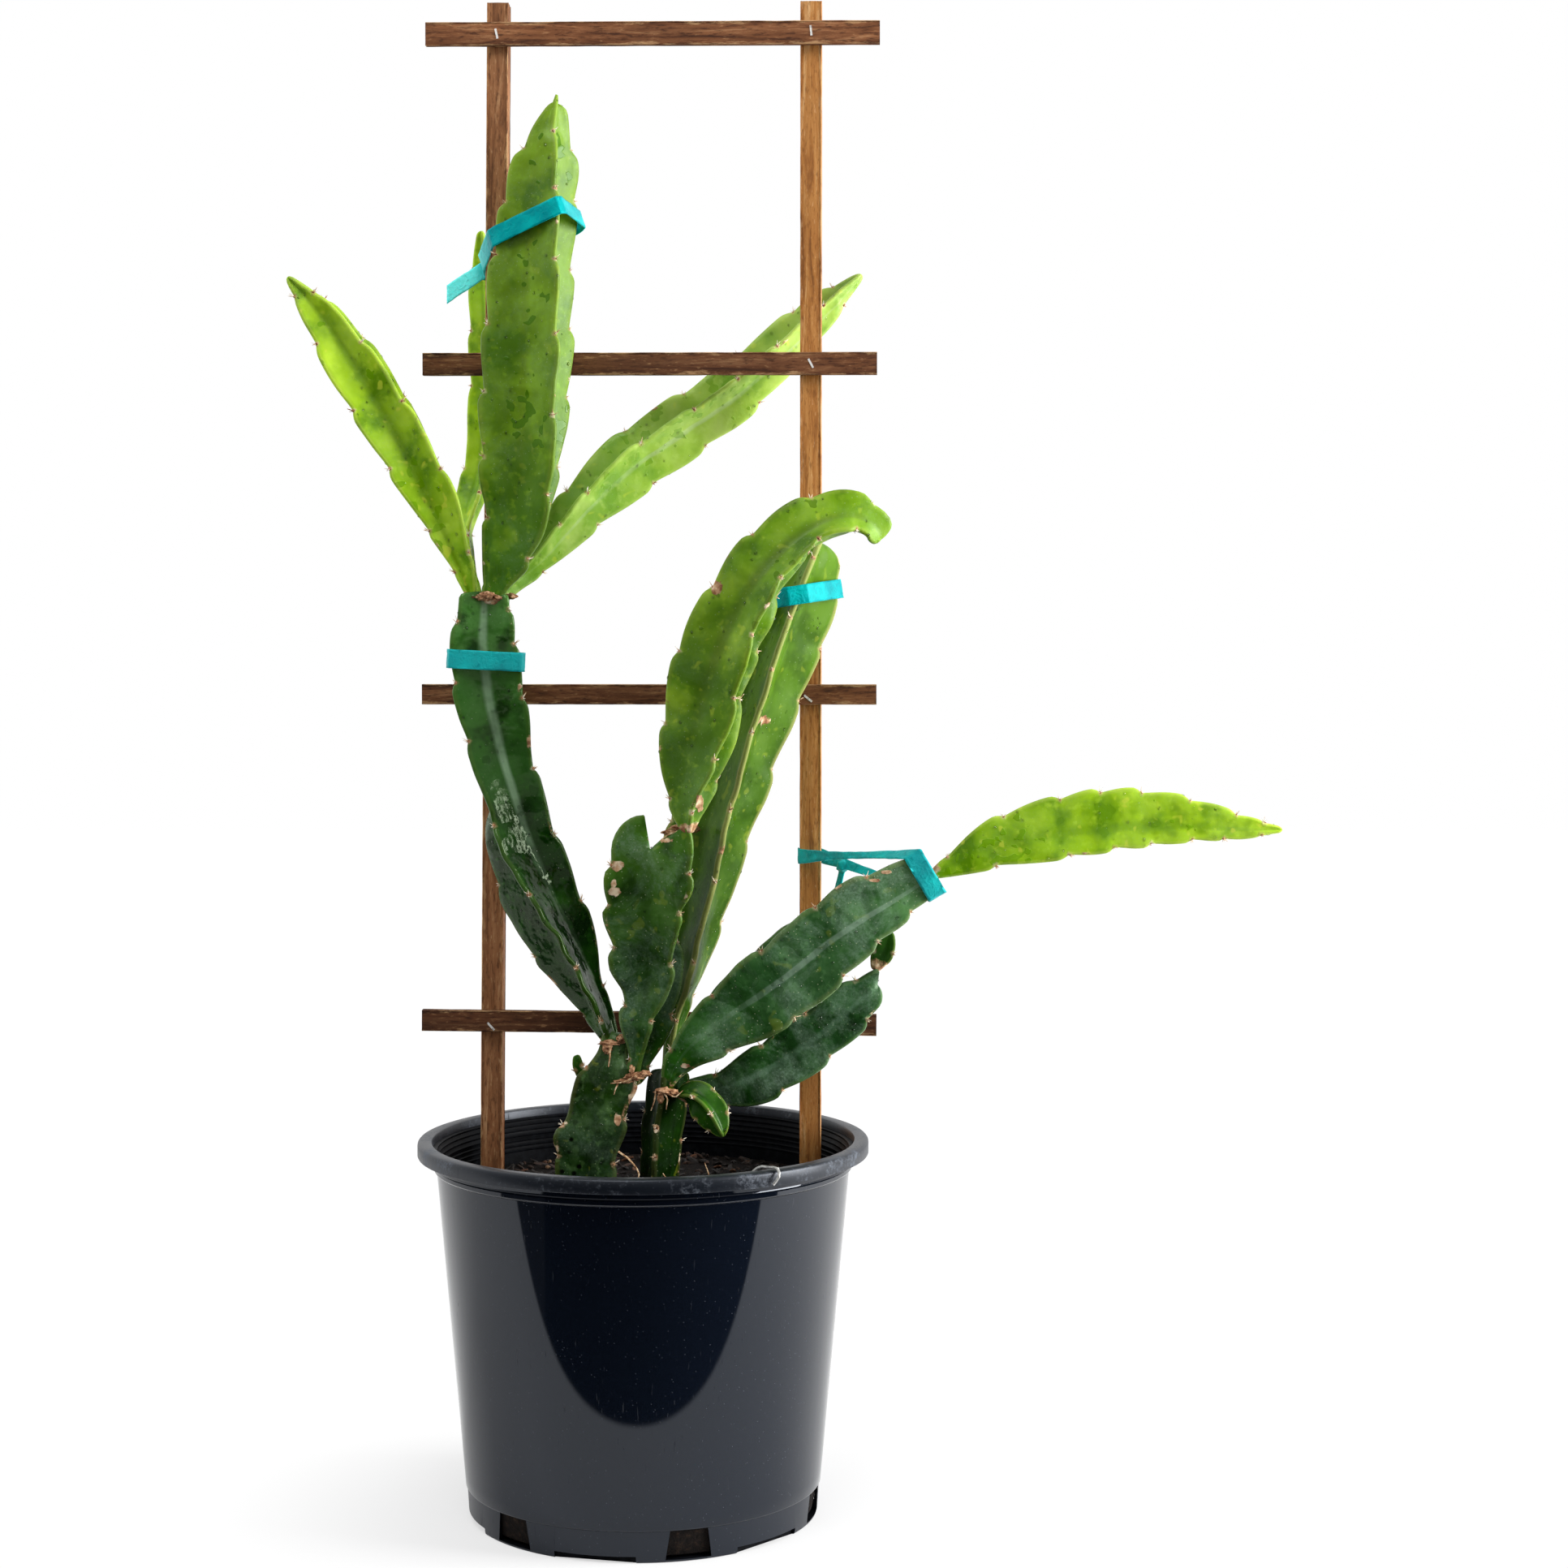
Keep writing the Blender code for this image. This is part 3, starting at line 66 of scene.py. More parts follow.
# Pot: a three-gallon nursery pot
POT_HEIGHT = 231.0
RIM_RADIUS = 140.0
RIM_INNER_RADIUS = 131.0
RIM_SKIRT_HEIGHT = 9.0
SHOULDER_RADIUS = 128.0
LEDGE_RADIUS = 110.2
LEDGE_HEIGHT = 19.0
FOOT_RADIUS = 108.0
POT_WALL = 1.9
POT_FLOOR = 2.5
RIDGE_HEIGHT = 215.0
RIDGE_FOOT = 2.4
POT_SEGMENTS = 160
DRAIN_HOLES = 6
DRAIN_FIRST_ANGLE = 17.0
DRAIN_WIDTH_LOW = 28.0
DRAIN_WIDTH_HIGH = 23.0
DRAIN_FROM = 1.5
SLIT_HEIGHT = 4.0
SLIT_WIDTH = 50.0
SLIT_INNER_RADIUS = 103.0
INNER_RINGS = 7
INNER_RING_PITCH = 3.2
INNER_RING_DEPTH = 0.5

# Soil, and the bark chips on it: how many to a square metre, and their half-length in metres
SOIL_TOP = 199.5
SOIL_CLEARANCE = 0.4
SOIL_FLOOR_GAP = 0.3
SOIL_RINGS = 36
SOIL_SEGMENTS = 120
CHIP_DENSITY = 16000.0
CHIP_SIZE = 0.0042

# Trellis. The bars' front faces lie back by the wear, so that the staples' crowns stand proud of them.
STAKE_WIDTH = 14.0
STAKE_LENGTH = 807.0
STAKE_FOOT = 140.0
STAKE_POINT_LENGTH = 45.0
STAKE_POINT_WIDTH = 4.0
CROSSBAR_LENGTH = 289.0
CROSSBAR_DEPTH = 6.0
CROSSBAR_HEIGHTS = (15.3, 14.7, 13.2, 13.8)
CROSSBAR_LEVELS = (926.0, 716.0, 506.0, 297.5)
CROSSBAR_TILTS = (0.0, 0.0, 0.0, 0.45)
CROSSBAR_OFFSETS = (0.4, -1.4, -1.8, -1.8)
CROSSBAR_TONES = (0.2, 0.45, 0.3, 0.6)
BAR_WEAR = 0.3
PLANK_BEVEL = 0.55
PLANK_STEP = 6.0
TRELLIS_FRONT = 32.0
TRELLIS_YAW = -1.4
LEFT_STAKE_X = -97.6
LEFT_STAKE_LEAN = 0.32
RIGHT_STAKE_X = 104.2
RIGHT_STAKE_LEAN = 0.05
WOOD_GAP = 0.3

# Stems: a ring every few millimetres, and the points of each ring. A lobe of a margin swells up to
# the share SHOULDER_AT of its length. Faces ripple and margins sway in waves of the lengths given.
RING_STEP = 2.4
FACE_POINTS = 13
MARGIN_ANGLES = (-80, -40, 0, 40, 80)
SHOULDER_AT = 0.82
CROWN_RISE = 26.0
RIPPLE_LENGTH = 14.0
RIPPLE_DEPTH = 1.3
SWAY_LENGTH = 14.0
STUB_RADIUS = 8.5
STUB_BLEND = 3.0

# The corky band at a stem's foot, and how far an areole's brown halo reaches into the skin
JOINT_CORK = 5.0
AREOLE_HALO = 3.0

# In metres: an areole's felt and spines, and the water droplets with how many to a square metre
FELT_WIDTH = 0.0026
SPINE_LENGTH = 0.0050
SPINE_RADIUS = 0.00045
SPINES = 4
DROPLET_RADIUS = 0.0011
DROPLET_DENSITY = 4500.0

# Root fibres have few sides, because they are under 2 mm thick
ROOT_SIDES = 6
ROOT_RINGS = 12

# Edges of the ties that are longer than this are halved, three times over
TAPE_STEP = 2.4


def rib(turn, reach, areoles, crown=0.0, crest=0.2):
    """One rib of a stem: its angles and reaches, spaced evenly from the stem's foot to its tip.

    An angle of 0 is the stem's right side seen from -Y, 90 faces -Y and 180 is its left side.
    """
    return {"turn": turn, "reach": reach, "areoles": areoles, "crown": crown, "crest": crest}


def stem(name, path, ribs, look="stem_mature", notch=3.0, core=9.0, edge=1.7, foot_round=7.0,
         tip_round=7.0, stub=None, sway=(0.2, 0.8, 0.8, 0.4)):
    """One jointed length of stem. stub is the height where its ribs start, above a round buried foot.

    sway is how far its margins wave aside, spaced evenly from its foot to its tip.
    """
    return {"name": name, "path": path, "ribs": ribs, "look": look, "notch": notch, "core": core,
            "edge": edge, "foot_round": foot_round, "tip_round": tip_round, "stub": stub, "sway": sway}


STEMS = [
    stem("base_stem_left",
         [(-34, 2, 168), (-34, 2, 200), (-31, 1, 232), (-25, 0, 260), (-19, 0, 283),
          (-17, 2, 296)],
         [rib([165, 165, 165, 165], [24, 23, 26, 21, 20, 18, 11, 9], (50, 68, 104)),
          rib([18, 18, 18, 15], [18, 18, 19, 21, 20, 21, 12, 8], (48, 79, 112)),
          rib([270, 270, 268, 265], [18, 18, 19, 19, 18, 17, 11, 9], (58, 94))],
         notch=2.5, core=10, stub=200.4, tip_round=5, sway=(0.0, 0.8, 1.4, 0.8, 0.2)),
    stem("base_stem_centre",
         [(11, 6, 168), (11, 6, 200), (12, 5, 230), (15, 5, 255), (16, 4, 272)],
         [rib([112, 108, 104], [15, 15, 16, 16, 15], (52, 69, 92)),
          rib([-18, -15, -12], [12, 12, 13, 13, 13], (60, 84)),
          rib([215, 213, 210], [17, 17, 17, 17, 15], (50, 75))],
         look="stem_core_in_painted_shade", notch=1.2, core=8.5, stub=200.4, tip_round=4, sway=(0.0, 0.0, 0.6, 0.2)),
    stem("left_arm_lower",
         [(-19, 3, 287), (-26, 4, 308), (-42, 5, 343), (-66, 7, 392), (-83, 10, 444),
          (-96, 13, 496), (-101, 14, 535), (-100, 15, 571)],
         [rib([102, 98, 130, 154, 148], [5, 18, 24, 26, 24, 22, 23.5, 23.5, 18.5],
              (18, 55, 108, 154, 208, 244, 279)),
          rib([-25, -20, -5, 22, 34], [5, 9, 19, 22, 20.5, 20.5, 26, 26, 19.5],
              (37, 90, 138, 182, 228, 265, 288)),
          rib([205, 208, 224, 258, 268], [5, 20, 31, 36, 35, 26, 19, 18, 15],
              (25, 72, 120, 165, 205, 240, 272))],
         look="stem_dark", notch=2.8, tip_round=4, sway=(0.3, 2.2, 2.6, 2.2, 1.2, 0.2, 0.2)),
    stem("left_arm_shoot",
         [(-108, 13, 564), (-115, 12, 583), (-129, 10, 615), (-149, 7, 657), (-173, 4, 700),
          (-199, 1, 740), (-222, 0, 767)],
         [rib([158, 154], [2.5, 7, 13, 17.5, 19.5, 19.5, 14, 2.5], (22, 52, 98, 141, 189, 222)),
          rib([30, 28], [3, 15, 21, 21, 19.5, 17, 12, 2.5], (30, 84, 131, 175, 216)),
          rib([-46, -48], [3, 12, 19, 23, 24, 23, 16, 2.5], (45, 90, 135, 178, 210))],
         look="stem_young", notch=2.8, core=6, edge=1.5,
         foot_round=4, tip_round=4),
    stem("left_arm_upright",
         [(-97, 9, 563), (-94, 11, 582), (-83, 12, 615), (-76, 12, 652), (-73, 12, 700),
          (-71, 13, 767), (-68, 13, 812), (-63, 12, 850), (-57, 12, 878)],
         [rib([170, 172, 174], [4, 16, 27, 31, 31, 29, 25, 19, 2.5], (52, 92, 135, 178, 221, 253, 287)),
          rib([20, 40, 47, 49, 52], [8, 26, 29, 29, 29, 28, 26, 18, 2.5],
              (35, 74, 121, 171, 218, 264, 300), crown=5, crest=0.7),
          rib([-30, -34, -32], [7, 20, 26, 30, 32, 31, 30, 27, 9], (50, 92, 135, 178, 215, 260, 292))],
         look="stem_upright", notch=3.8, tip_round=4, foot_round=5,
         sway=(0.2, 1.0, 1.0, 1.0, 0.2, 0.2, 0.3)),
    stem("left_arm_back_shoot",
         [(-104, 23, 563), (-112, 36, 585), (-117, 51, 606), (-116, 66, 623), (-111, 77, 645),
          (-107, 82, 680), (-106, 82, 730), (-107, 79, 770), (-109, 74, 806)],
         [rib([190, 188], [3, 6, 11, 13, 13, 13, 13, 11, 3], (32, 70, 107, 163, 199, 236)),
          rib([66, 62], [3, 6, 9, 11, 11, 11, 9, 7, 2.5], (50, 88, 124, 180, 218)),
          rib([-55, -58], [3, 6, 8, 11, 11, 11, 9, 7, 2.5], (60, 98, 140, 185, 225))],
         look="stem_young", notch=2.5, core=5, edge=1.4,
         foot_round=4, tip_round=3),
    stem("left_arm_long_shoot",
         [(-93, 18, 563), (-83, 27, 578), (-64, 36, 597), (-39, 43, 626), (-11, 52, 653),
          (21, 61, 676), (53, 67, 698), (83, 71, 724), (111, 75, 751), (138, 78, 778)],
         [rib([186, 184], [4, 12, 17, 21, 22.5, 21.5, 21, 19, 15, 2.5], (45, 86, 138, 182, 228, 275, 305)),
          rib([112, 116], [3, 8, 13, 16, 17, 17, 16, 14, 10, 2.5],
              (26, 66, 92, 138, 180, 216, 250, 291)),
          rib([-14, -10], [4, 10, 15, 20, 21.5, 20, 18, 14, 10, 2.5], (38, 84, 132, 176, 219, 262, 302))],
         look="stem_fresh", core=6, edge=1.5, foot_round=4, tip_round=4),
    stem("notched_stem",
         [(-6, -3, 264), (-5, -4, 280), (-2, -8, 302), (4, -10, 324), (5, -13, 345), (4, -17, 372),
          (4, -20, 394), (5, -22, 412)],
         [rib([170, 170, 168], [5, 6, 13, 19, 26, 27, 29, 28, 25], (16, 48, 90, 116, 136),
              crown=21, crest=0.25),
          rib([40, 38, 34], [5, 7, 10, 15, 19, 22, 28, 35, 34], (44, 80, 113, 136), crown=18, crest=0.8),
          rib([0, -6, -18, -24], [5, 15, 20, 21, 21, 21, 21, 20, 16], (12, 50, 90, 128),
              crown=6, crest=0.6)],
         look="stem_grey_green", notch=3.8, tip_round=10, foot_round=6, sway=(0.2, 1.2, 1.4, 0.6)),
    stem("curved_stem",
         [(29.5, -38.5, 423), (28, -37.5, 436), (29, -38, 458), (36, -39, 489), (44, -40, 519),
          (56, -40, 548), (72, -40, 575), (93, -37, 598), (113, -33, 611), (128, -29, 614),
          (140, -25, 610), (146, -22, 602)],
         [rib([180, 180], [4, 16, 23, 26, 28, 26, 26, 24, 20, 13], (21, 63, 105, 145, 180, 215, 241)),
          rib([75, 45, 35, 50, 55, 60, 60], [4, 18, 23, 24, 24, 22, 19, 15, 13, 11],
              (13, 49, 89, 131, 171, 206, 234)),
          rib([-15, -20, -25, -30, -40, -60], [4, 20, 26, 25, 25, 23, 17, 13, 12, 11],
              (34, 88, 123, 161, 199, 239))],
         look="stem_light", notch=3.2, tip_round=9, foot_round=5, sway=(0.2, 1.2, 1.2, 0.8)),
    stem("tall_back_stem",
         [(14, 10, 263), (16, 11, 285), (20, 11, 307), (26, 10, 331), (34, 9, 371), (42, 8, 411),
          (52, 8, 450), (65, 8, 489), (79, 9, 527), (94, 11, 565), (110, 14, 602)],
         [rib([80, 80, 78, 84, 90], [5, 7, 21, 30, 33, 33, 32, 28, 20, 12],
              (40, 80, 133, 178, 228, 268, 302, 342)),
          rib([-38, -36, -34], [5, 8, 16, 24, 29, 32, 33, 34, 33, 20],
              (56, 104, 158, 208, 256, 292, 331)),
          rib([205, 202, 200], [5, 7, 20, 31, 34, 35, 34, 31, 21, 12],
              (60, 110, 160, 210, 255, 296, 336))],
         look="stem_back", notch=3.2, core=10, foot_round=4, tip_round=9,
         sway=(0.2, 1.0, 1.2, 0.8, 0.2, 0.2)),
    stem("right_arm",
         [(15, -4, 264), (20, -7, 277), (31, -11, 292), (52, -15, 309), (74, -19, 324),
          (95, -22, 340), (116, -25, 357), (137, -27, 371), (160, -27, 385), (179, -26, 397)],
         [rib([158, 158], [5, 12, 18, 25, 26, 26, 28, 24, 16], (22, 62, 104, 146, 180)),
          rib([15, 12], [5, 15, 23, 27, 28, 26, 21, 16, 10], (49, 95, 134, 165, 192)),
          rib([222, 224], [5, 12, 20, 28, 31, 28, 25, 21, 14], (40, 85, 130, 170))],
         look="stem_bloomed", core=10, tip_round=9, sway=(0.2, 1.2, 2.0, 2.2, 0.4, 0.1)),
    stem("right_arm_shoot",
         [(178, -26, 396), (186, -26, 400), (208, -27, 411), (234, -28, 418), (260, -28, 422),
          (286, -27, 425), (313, -26, 426), (340, -25, 426), (366, -24, 424), (394, -23, 424)],
         [rib([178, 178], [3, 11, 19, 23, 25, 25, 22, 17, 10, 1.8],
              (14, 52, 86, 110, 134, 163, 192, 210)),
          rib([8, 12], [3, 11, 15, 16, 16, 14, 12, 9, 6, 1.8], (40, 87, 116, 139, 165, 185, 208)),
          rib([-65, -50, -40], [3, 9, 12, 13, 13, 13, 12, 10, 7, 1.8], (30, 62, 98, 128, 158, 188))],
         look="stem_young", notch=2.9, core=6, edge=1.4, foot_round=4, tip_round=3),
    stem("right_lower_arm",
         [(19, 9, 260), (32, 9, 260), (47, 8, 261), (64, 7, 267), (80, 7, 275), (96, 7, 285),
          (111, 7, 296), (124, 7, 307), (136, 7, 317), (146, 7, 325)],
         [rib([158, 158], [4, 9, 14, 18, 20, 20, 19, 17, 12], (27, 64, 100, 136),
              crown=6, crest=0.8),
          rib([5, 8], [4, 11, 18, 20, 20, 19, 18, 16, 10], (30, 62, 96, 128)),
          rib([272, 268], [4, 9, 14, 16, 17, 17, 16, 14, 8], (45, 80, 115))],
         look="stem_lower_dark", notch=3.2, core=8, foot_round=4, tip_round=8,
         sway=(0.2, 1.4, 1.4, 0.6)),
    stem("right_lower_offset",
         [(144, 7, 334), (147, 8, 340), (151, 9, 347), (154, 10, 358)],
         [rib([170, 170], [3, 7, 8, 3], (10, 20)),
          rib([20, 20], [3, 6.5, 6, 3], (14,)),
          rib([275, 275], [2.5, 4.5, 4.5, 3], (18,))],
         look="stem_offset", notch=0.8, core=3, edge=1.1,
         foot_round=2, tip_round=2),
    stem("centre_offset",
         [(21, -2, 257), (29, -7, 259), (37, -12, 255), (44, -15, 246), (50, -17, 234)],
         [rib([200, 190, 185], [2.5, 9, 11, 11, 9, 2.5], (20, 34)),
          rib([-8, -8], [2.5, 9, 11.5, 12, 9, 2.5], (10, 26, 38)),
          rib([84, 84], [2.5, 7, 8, 8, 6, 2.5], (16, 30))],
         look="stem_offset", notch=1.5, core=5, edge=1.2,
         foot_round=3, tip_round=3),
    stem("left_sprout",
         [(-34, 0, 263), (-38, 0, 267), (-40, 0, 274), (-42, 0, 282)],
         [rib([175, 175], [1.8, 2.8, 4.2, 2.4], (12,)),
          rib([20, 20], [1.8, 2.6, 3.2, 2.4], (14,)),
          rib([275, 275], [1.8, 2.6, 3.4, 2.4], (16,))],
         look="stem_offset", notch=0.5, core=2, edge=0.8,
         foot_round=1.5, tip_round=1.5),
]


def srgb(hex_colour):
    """Linear colour of an sRGB hex value."""
    values = [int(hex_colour[i:i + 2], 16) / 255 for i in (1, 3, 5)]
    return [v / 12.92 if v <= 0.04045 else ((v + 0.055) / 1.055) ** 2.4 for v in values] + [1.0]


def feed(tree, node, inputs):
    """Sets a node's inputs, given in order or by name, to values or to other nodes' outputs."""
    for socket, value in inputs.items() if isinstance(inputs, dict) else enumerate(inputs):
        if isinstance(value, bpy.types.NodeSocket):
            tree.links.new(value, node.inputs[socket])
        else:
            node.inputs[socket].default_value = value


def add(tree, kind, inputs=(), stops=(), output=None, **settings):
    """Adds a node with its settings, its ramp's stops and its inputs, and gives one of its outputs."""
    node = tree.nodes.new(kind if "Node" in kind else tree.bl_idname.replace("Tree", kind))
    for name, value in settings.items():
        setattr(node, name, value)
    if stops:
        ramp = node.color_ramp
        for element, (position, colour) in ((0, stops[0]), (-1, stops[-1])):
            ramp.elements[element].position = position
            ramp.elements[element].color = srgb(colour)
        for position, colour in stops[1:-1]:
            ramp.elements.new(position).color = srgb(colour)
    feed(tree, node, inputs)
    if output:
        return node.outputs[output]
    return next((socket for socket in node.outputs if socket.enabled), None)


def layer(tree, under, over, value, low=0.0, high=1.0, most=1.0):
    """A colour laid over another, up to a share, as a value passes from low to high."""
    share = add(tree, "MapRange", [value, low, high, 0.0, most])
    over = srgb(over) if isinstance(over, str) else over
    return add(tree, "Mix", {0: share, 6: under, 7: over}, data_type="RGBA")


def mask_with(tree, mask, operation, value, low, high, least=0.0, most=1.0):
    """A mask or a roughness combined with a second one, which grows as a value passes from low to high."""
    second = add(tree, "MapRange", [value, low, high, least, most])
    return add(tree, "Math", [mask, second], operation=operation)


def streaked(tree, place, stretch, detail=2.0, roughness=0.5, distortion=0.0, turn=(0.0, 0.0, 0.0)):
    """Noise drawn out along one direction. stretch is how many grains there are to a metre each way."""
    drawn = add(tree, "Mapping", {"Vector": place, "Rotation": turn, "Scale": stretch})
    return add(tree, "TexNoise", {"Vector": drawn, "Scale": 1.0, "Detail": detail,
                                  "Roughness": roughness, "Distortion": distortion})


def new_material(name, **values):
    """A material with its shader's fixed values set on the shader's own sockets."""
    made = bpy.data.materials.new(name)
    made.use_nodes = True
    shader = made.node_tree.nodes["Principled BSDF"]
    feed(made.node_tree, shader, {socket.replace("_", " "): value for socket, value in values.items()})
    return made, made.node_tree, shader


def grained(name, scale, detail, stops, coarse=0.5, rough=None, relief=None, **values):
    """A material of one grain, scale grains to a metre, that sets its colour.

    rough is the range of roughness over the grain, and relief the strength and height of its bump.
    """
    made, tree, shader = new_material(name, **values)
    place = add(tree, "TexCoord", output="Object")
    grain = add(tree, "TexNoise", {"Vector": place, "Scale": scale, "Detail": detail, "Roughness": coarse})
    feed(tree, shader, {"Base Color": add(tree, "ValToRGB", [grain], stops)})
    if rough:
        feed(tree, shader, {"Roughness": add(tree, "MapRange", [grain, 0.0, 1.0, *rough])})
    if relief:
        feed(tree, shader, {"Normal": add(tree, "Bump", {
            "Strength": relief[0], "Distance": relief[1], "Height": grain})})
    return made


def new_object(name, data):
    obj = bpy.data.objects.new(name, data)
    bpy.context.scene.collection.objects.link(obj)
    return obj


def new_piece(name, bm, materials, smooth_angle=40.0):
    """A finished mesh object at the origin."""
    mesh = bpy.data.meshes.new(name)
    bm.to_mesh(mesh)
    bm.free()
    mesh.shade_smooth()
    mesh.set_sharp_from_angle(angle=math.radians(smooth_angle))
    for made in materials:
        mesh.materials.append(made)
    return new_object(name, mesh)


def plain_mesh(obj):
    """Turns an object's modifiers into its own plain mesh."""
    bpy.context.view_layer.update()
    evaluated = obj.evaluated_get(bpy.context.evaluated_depsgraph_get())
    mesh = bpy.data.meshes.new_from_object(evaluated)
    obj.modifiers.clear()
    obj.data = mesh


def join_rings(bm, here, following):
    """Faces between two rings of points, either of which may be a single point."""
    count = max(len(here), len(following))
    for k in range(count):
        j = (k + 1) % count
        corners = (here[k % len(here)], here[j % len(here)],
                   following[j % len(following)], following[k % len(following)])
        bm.faces.new(list(dict.fromkeys(corners)))


# Geometry Nodes

def node_group(name, sockets):
    """A Geometry Nodes tree with named inputs and one geometry output."""
    tree = bpy.data.node_groups.new(name, "GeometryNodeTree")
    for socket, kind in {"Geometry": "Geometry", **sockets}.items():
        tree.interface.new_socket(socket, in_out="INPUT", socket_type="NodeSocket" + kind)
    tree.interface.new_socket("Geometry", in_out="OUTPUT", socket_type="NodeSocketGeometry")
    return tree, tree.nodes.new("NodeGroupInput").outputs, tree.nodes.new("NodeGroupOutput")


def set_out(tree, points, shape, turn, size, material):
    """Copies of a shape on points, made real, with their material."""
    copies = add(tree, "InstanceOnPoints", {
        "Points": points, "Instance": shape, "Rotation": turn, "Scale": size})
    return add(tree, "SetMaterial", {0: add(tree, "RealizeInstances", [copies]), "Material": material})


def grow(obj, tree, inputs):
    """Runs a Geometry Nodes tree on an object, with its named inputs, into a plain mesh."""
    modifier = obj.modifiers.new(tree.name, "NODES")
    modifier.node_group = tree
    for item in tree.interface.items_tree:
        if item.in_out == "INPUT" and item.name in inputs:
            modifier[item.identifier] = inputs[item.name]
    plain_mesh(obj)


# Camera, light and floor

def build_camera():
    data = bpy.data.cameras.new("camera")
    data.sensor_width = 36.0
    data.lens = CAMERA_LENS
    data.shift_y = CAMERA_SHIFT_Y
    data.clip_end = 30.0
    camera = new_object("camera", data)
    camera.location = CAMERA_PLACE
    camera.rotation_euler = (math.radians(90), 0.0, 0.0)
    bpy.context.scene.camera = camera


def area_light(name, place, aim, size, power, glint):
    """A softbox. It lights the plant, but isn't seen itself. Only one with a glint shows in gloss."""
    data = bpy.data.lights.new(name, "AREA")
    data.shape = "RECTANGLE"
    data.size, data.size_y = size
    data.energy = power
    light = new_object(name, data)
    light.location = place
    light.rotation_euler = (Vector(aim) - Vector(place)).to_track_quat("-Z", "Y").to_euler()
    light.visible_camera = False
    light.visible_glossy = glint


def build_world():
    """A white studio wall behind the plant, and a dim room in front of it and above."""
    world = bpy.data.worlds.new("studio")
    world.use_nodes = True
    bpy.context.scene.world = world
    tree = world.node_tree
    tree.nodes.clear()
    place = add(tree, "TexCoord", output="Generated")
    depth, height = [add(tree, "SeparateXYZ", [place], output=axis) for axis in "YZ"]
    wall = add(tree, "MapRange", [depth, -0.35, 0.35, 0.50, 1.0], interpolation_type="SMOOTHSTEP")
    above = add(tree, "MapRange", [height, 0.25, 0.9, 1.0, 0.8], interpolation_type="SMOOTHSTEP")
    room = add(tree, "Math", [wall, above], operation="MULTIPLY")
    seen = add(tree, "LightPath", output="Is Camera Ray")
    strength = add(tree, "Mix", {0: seen, 2: room, 3: 1.0}, data_type="FLOAT")
    add(tree, "OutputWorld", [add(tree, "Background", [srgb("#FFFFFF"), strength])])


def build_floor():
    """A pale floor: pale on the table top behind its front edge.

    In front of that edge its colour is dark, as painted shade of the unlit room, which the pot reflects.
    """
    bm = bmesh.new()
    bmesh.ops.create_grid(bm, x_segments=1, y_segments=1, size=6.0)
    made, tree, shader = new_material("pale_floor", Roughness=0.9, Specular_IOR_Level=0.0)
    place = add(tree, "NewGeometry", output="Position")
    across, depth = [add(tree, "SeparateXYZ", [place], output=axis) for axis in "XY"]
    table = add(tree, "MapRange", [depth, TABLE_EDGE - TABLE_BLUR, TABLE_EDGE + TABLE_BLUR])
    side = add(tree, "Math", [depth, 1.13], operation="MULTIPLY")
    side = add(tree, "Math", [side, across], operation="SUBTRACT")
    # Painted shade: the floor's colour is dark in front of the table's edge and pale behind it, and only a
    # little paler off to one side.
    painted_lit = mask_with(tree, table, "MAXIMUM", side, 0.0, 0.02, 0.0, 0.05)
    feed(tree, shader, {"Base Color": layer(tree, srgb("#101318"), "#E8E8E8", painted_lit)})
    away = add(tree, "VectorMath", [place], operation="LENGTH")
    near = add(tree, "MapRange", [away, 0.12, 0.30, 0.55, 1.0], interpolation_type="SMOOTHSTEP")
    seen = add(tree, "LightPath", output="Is Camera Ray")
    share = add(tree, "Math", [near, seen], operation="MULTIPLY")
    white = add(tree, "Emission", [srgb("#FFFFFF"), 1.02])
    mixed = add(tree, "MixShader", [share, shader.outputs[0], white])
    feed(tree, tree.nodes["Material Output"], [mixed])
    floor = new_piece("floor", bm, [made])


def build_studio():
    build_world()
    build_floor()
    for name, values in SOFTBOXES.items():
        area_light(name, *values)
    bpy.context.scene.view_settings.view_transform = "Standard"


# Stems: lofts through smooth three-winged sections

def curve_at(before, a, b, after, t):
    """A value at share t of the way from a to b on a smooth curve (Catmull-Rom) past its neighbours."""
    return 0.5 * (2 * a + (b - before) * t + (2 * before - 5 * a + 4 * b - after) * t ** 2
                  + (3 * a - before - 3 * b + after) * t ** 3)


def spline(points):
    """Closely spaced points on a smooth curve through the given ones, and their run along it."""
    p = np.array(points, dtype=float)
    p = np.vstack([2 * p[0] - p[1], p, 2 * p[-1] - p[-2]])
    dense = [curve_at(*p[i - 1:i + 3], t) for i in range(1, len(p) - 2)
             for t in np.linspace(0.0, 1.0, 24, endpoint=False)]
    dense = np.array(dense + [p[-2]])
    run = np.concatenate([[0.0], np.cumsum(np.linalg.norm(np.diff(dense, axis=0), axis=1))])
    return dense, run


def sample(dense, run, at):
    """The point at a run along a curve."""
    return np.array([np.interp(at, run, dense[:, k]) for k in range(3)])


def profile(values, share):
    """Smooth value at a share (0 to 1) of the length, from values spaced evenly along it."""
    place_on = min(max(share, 0.0), 1.0) * (len(values) - 1)
    i = min(int(place_on), len(values) - 2)
    before = values[i - 1] if i > 0 else 2 * values[0] - values[1]
    after = values[i + 2] if i + 2 < len(values) else 2 * values[-1] - values[-2]
    return float(curve_at(before, values[i], values[i + 1], after, place_on - i))


def axes_at(dense, run, at):
    """Centre, direction, right side and viewer's side of a stem at a length along it."""
    step = 1.5
    ahead = sample(dense, run, min(at + step, run[-1]))
    behind = sample(dense, run, max(at - step, 0.0))
    along = Vector(ahead - behind).normalized()
    side = along.cross(TOWARD_VIEWER).normalized()
    front = side.cross(along).normalized()
    return Vector(sample(dense, run, at)), along, side, front


def foot_length(spec):
    """Length of the round foot in the soil, below a stem's ribs."""
    return 0.0 if spec["stub"] is None else spec["stub"] - spec["path"][0][2]


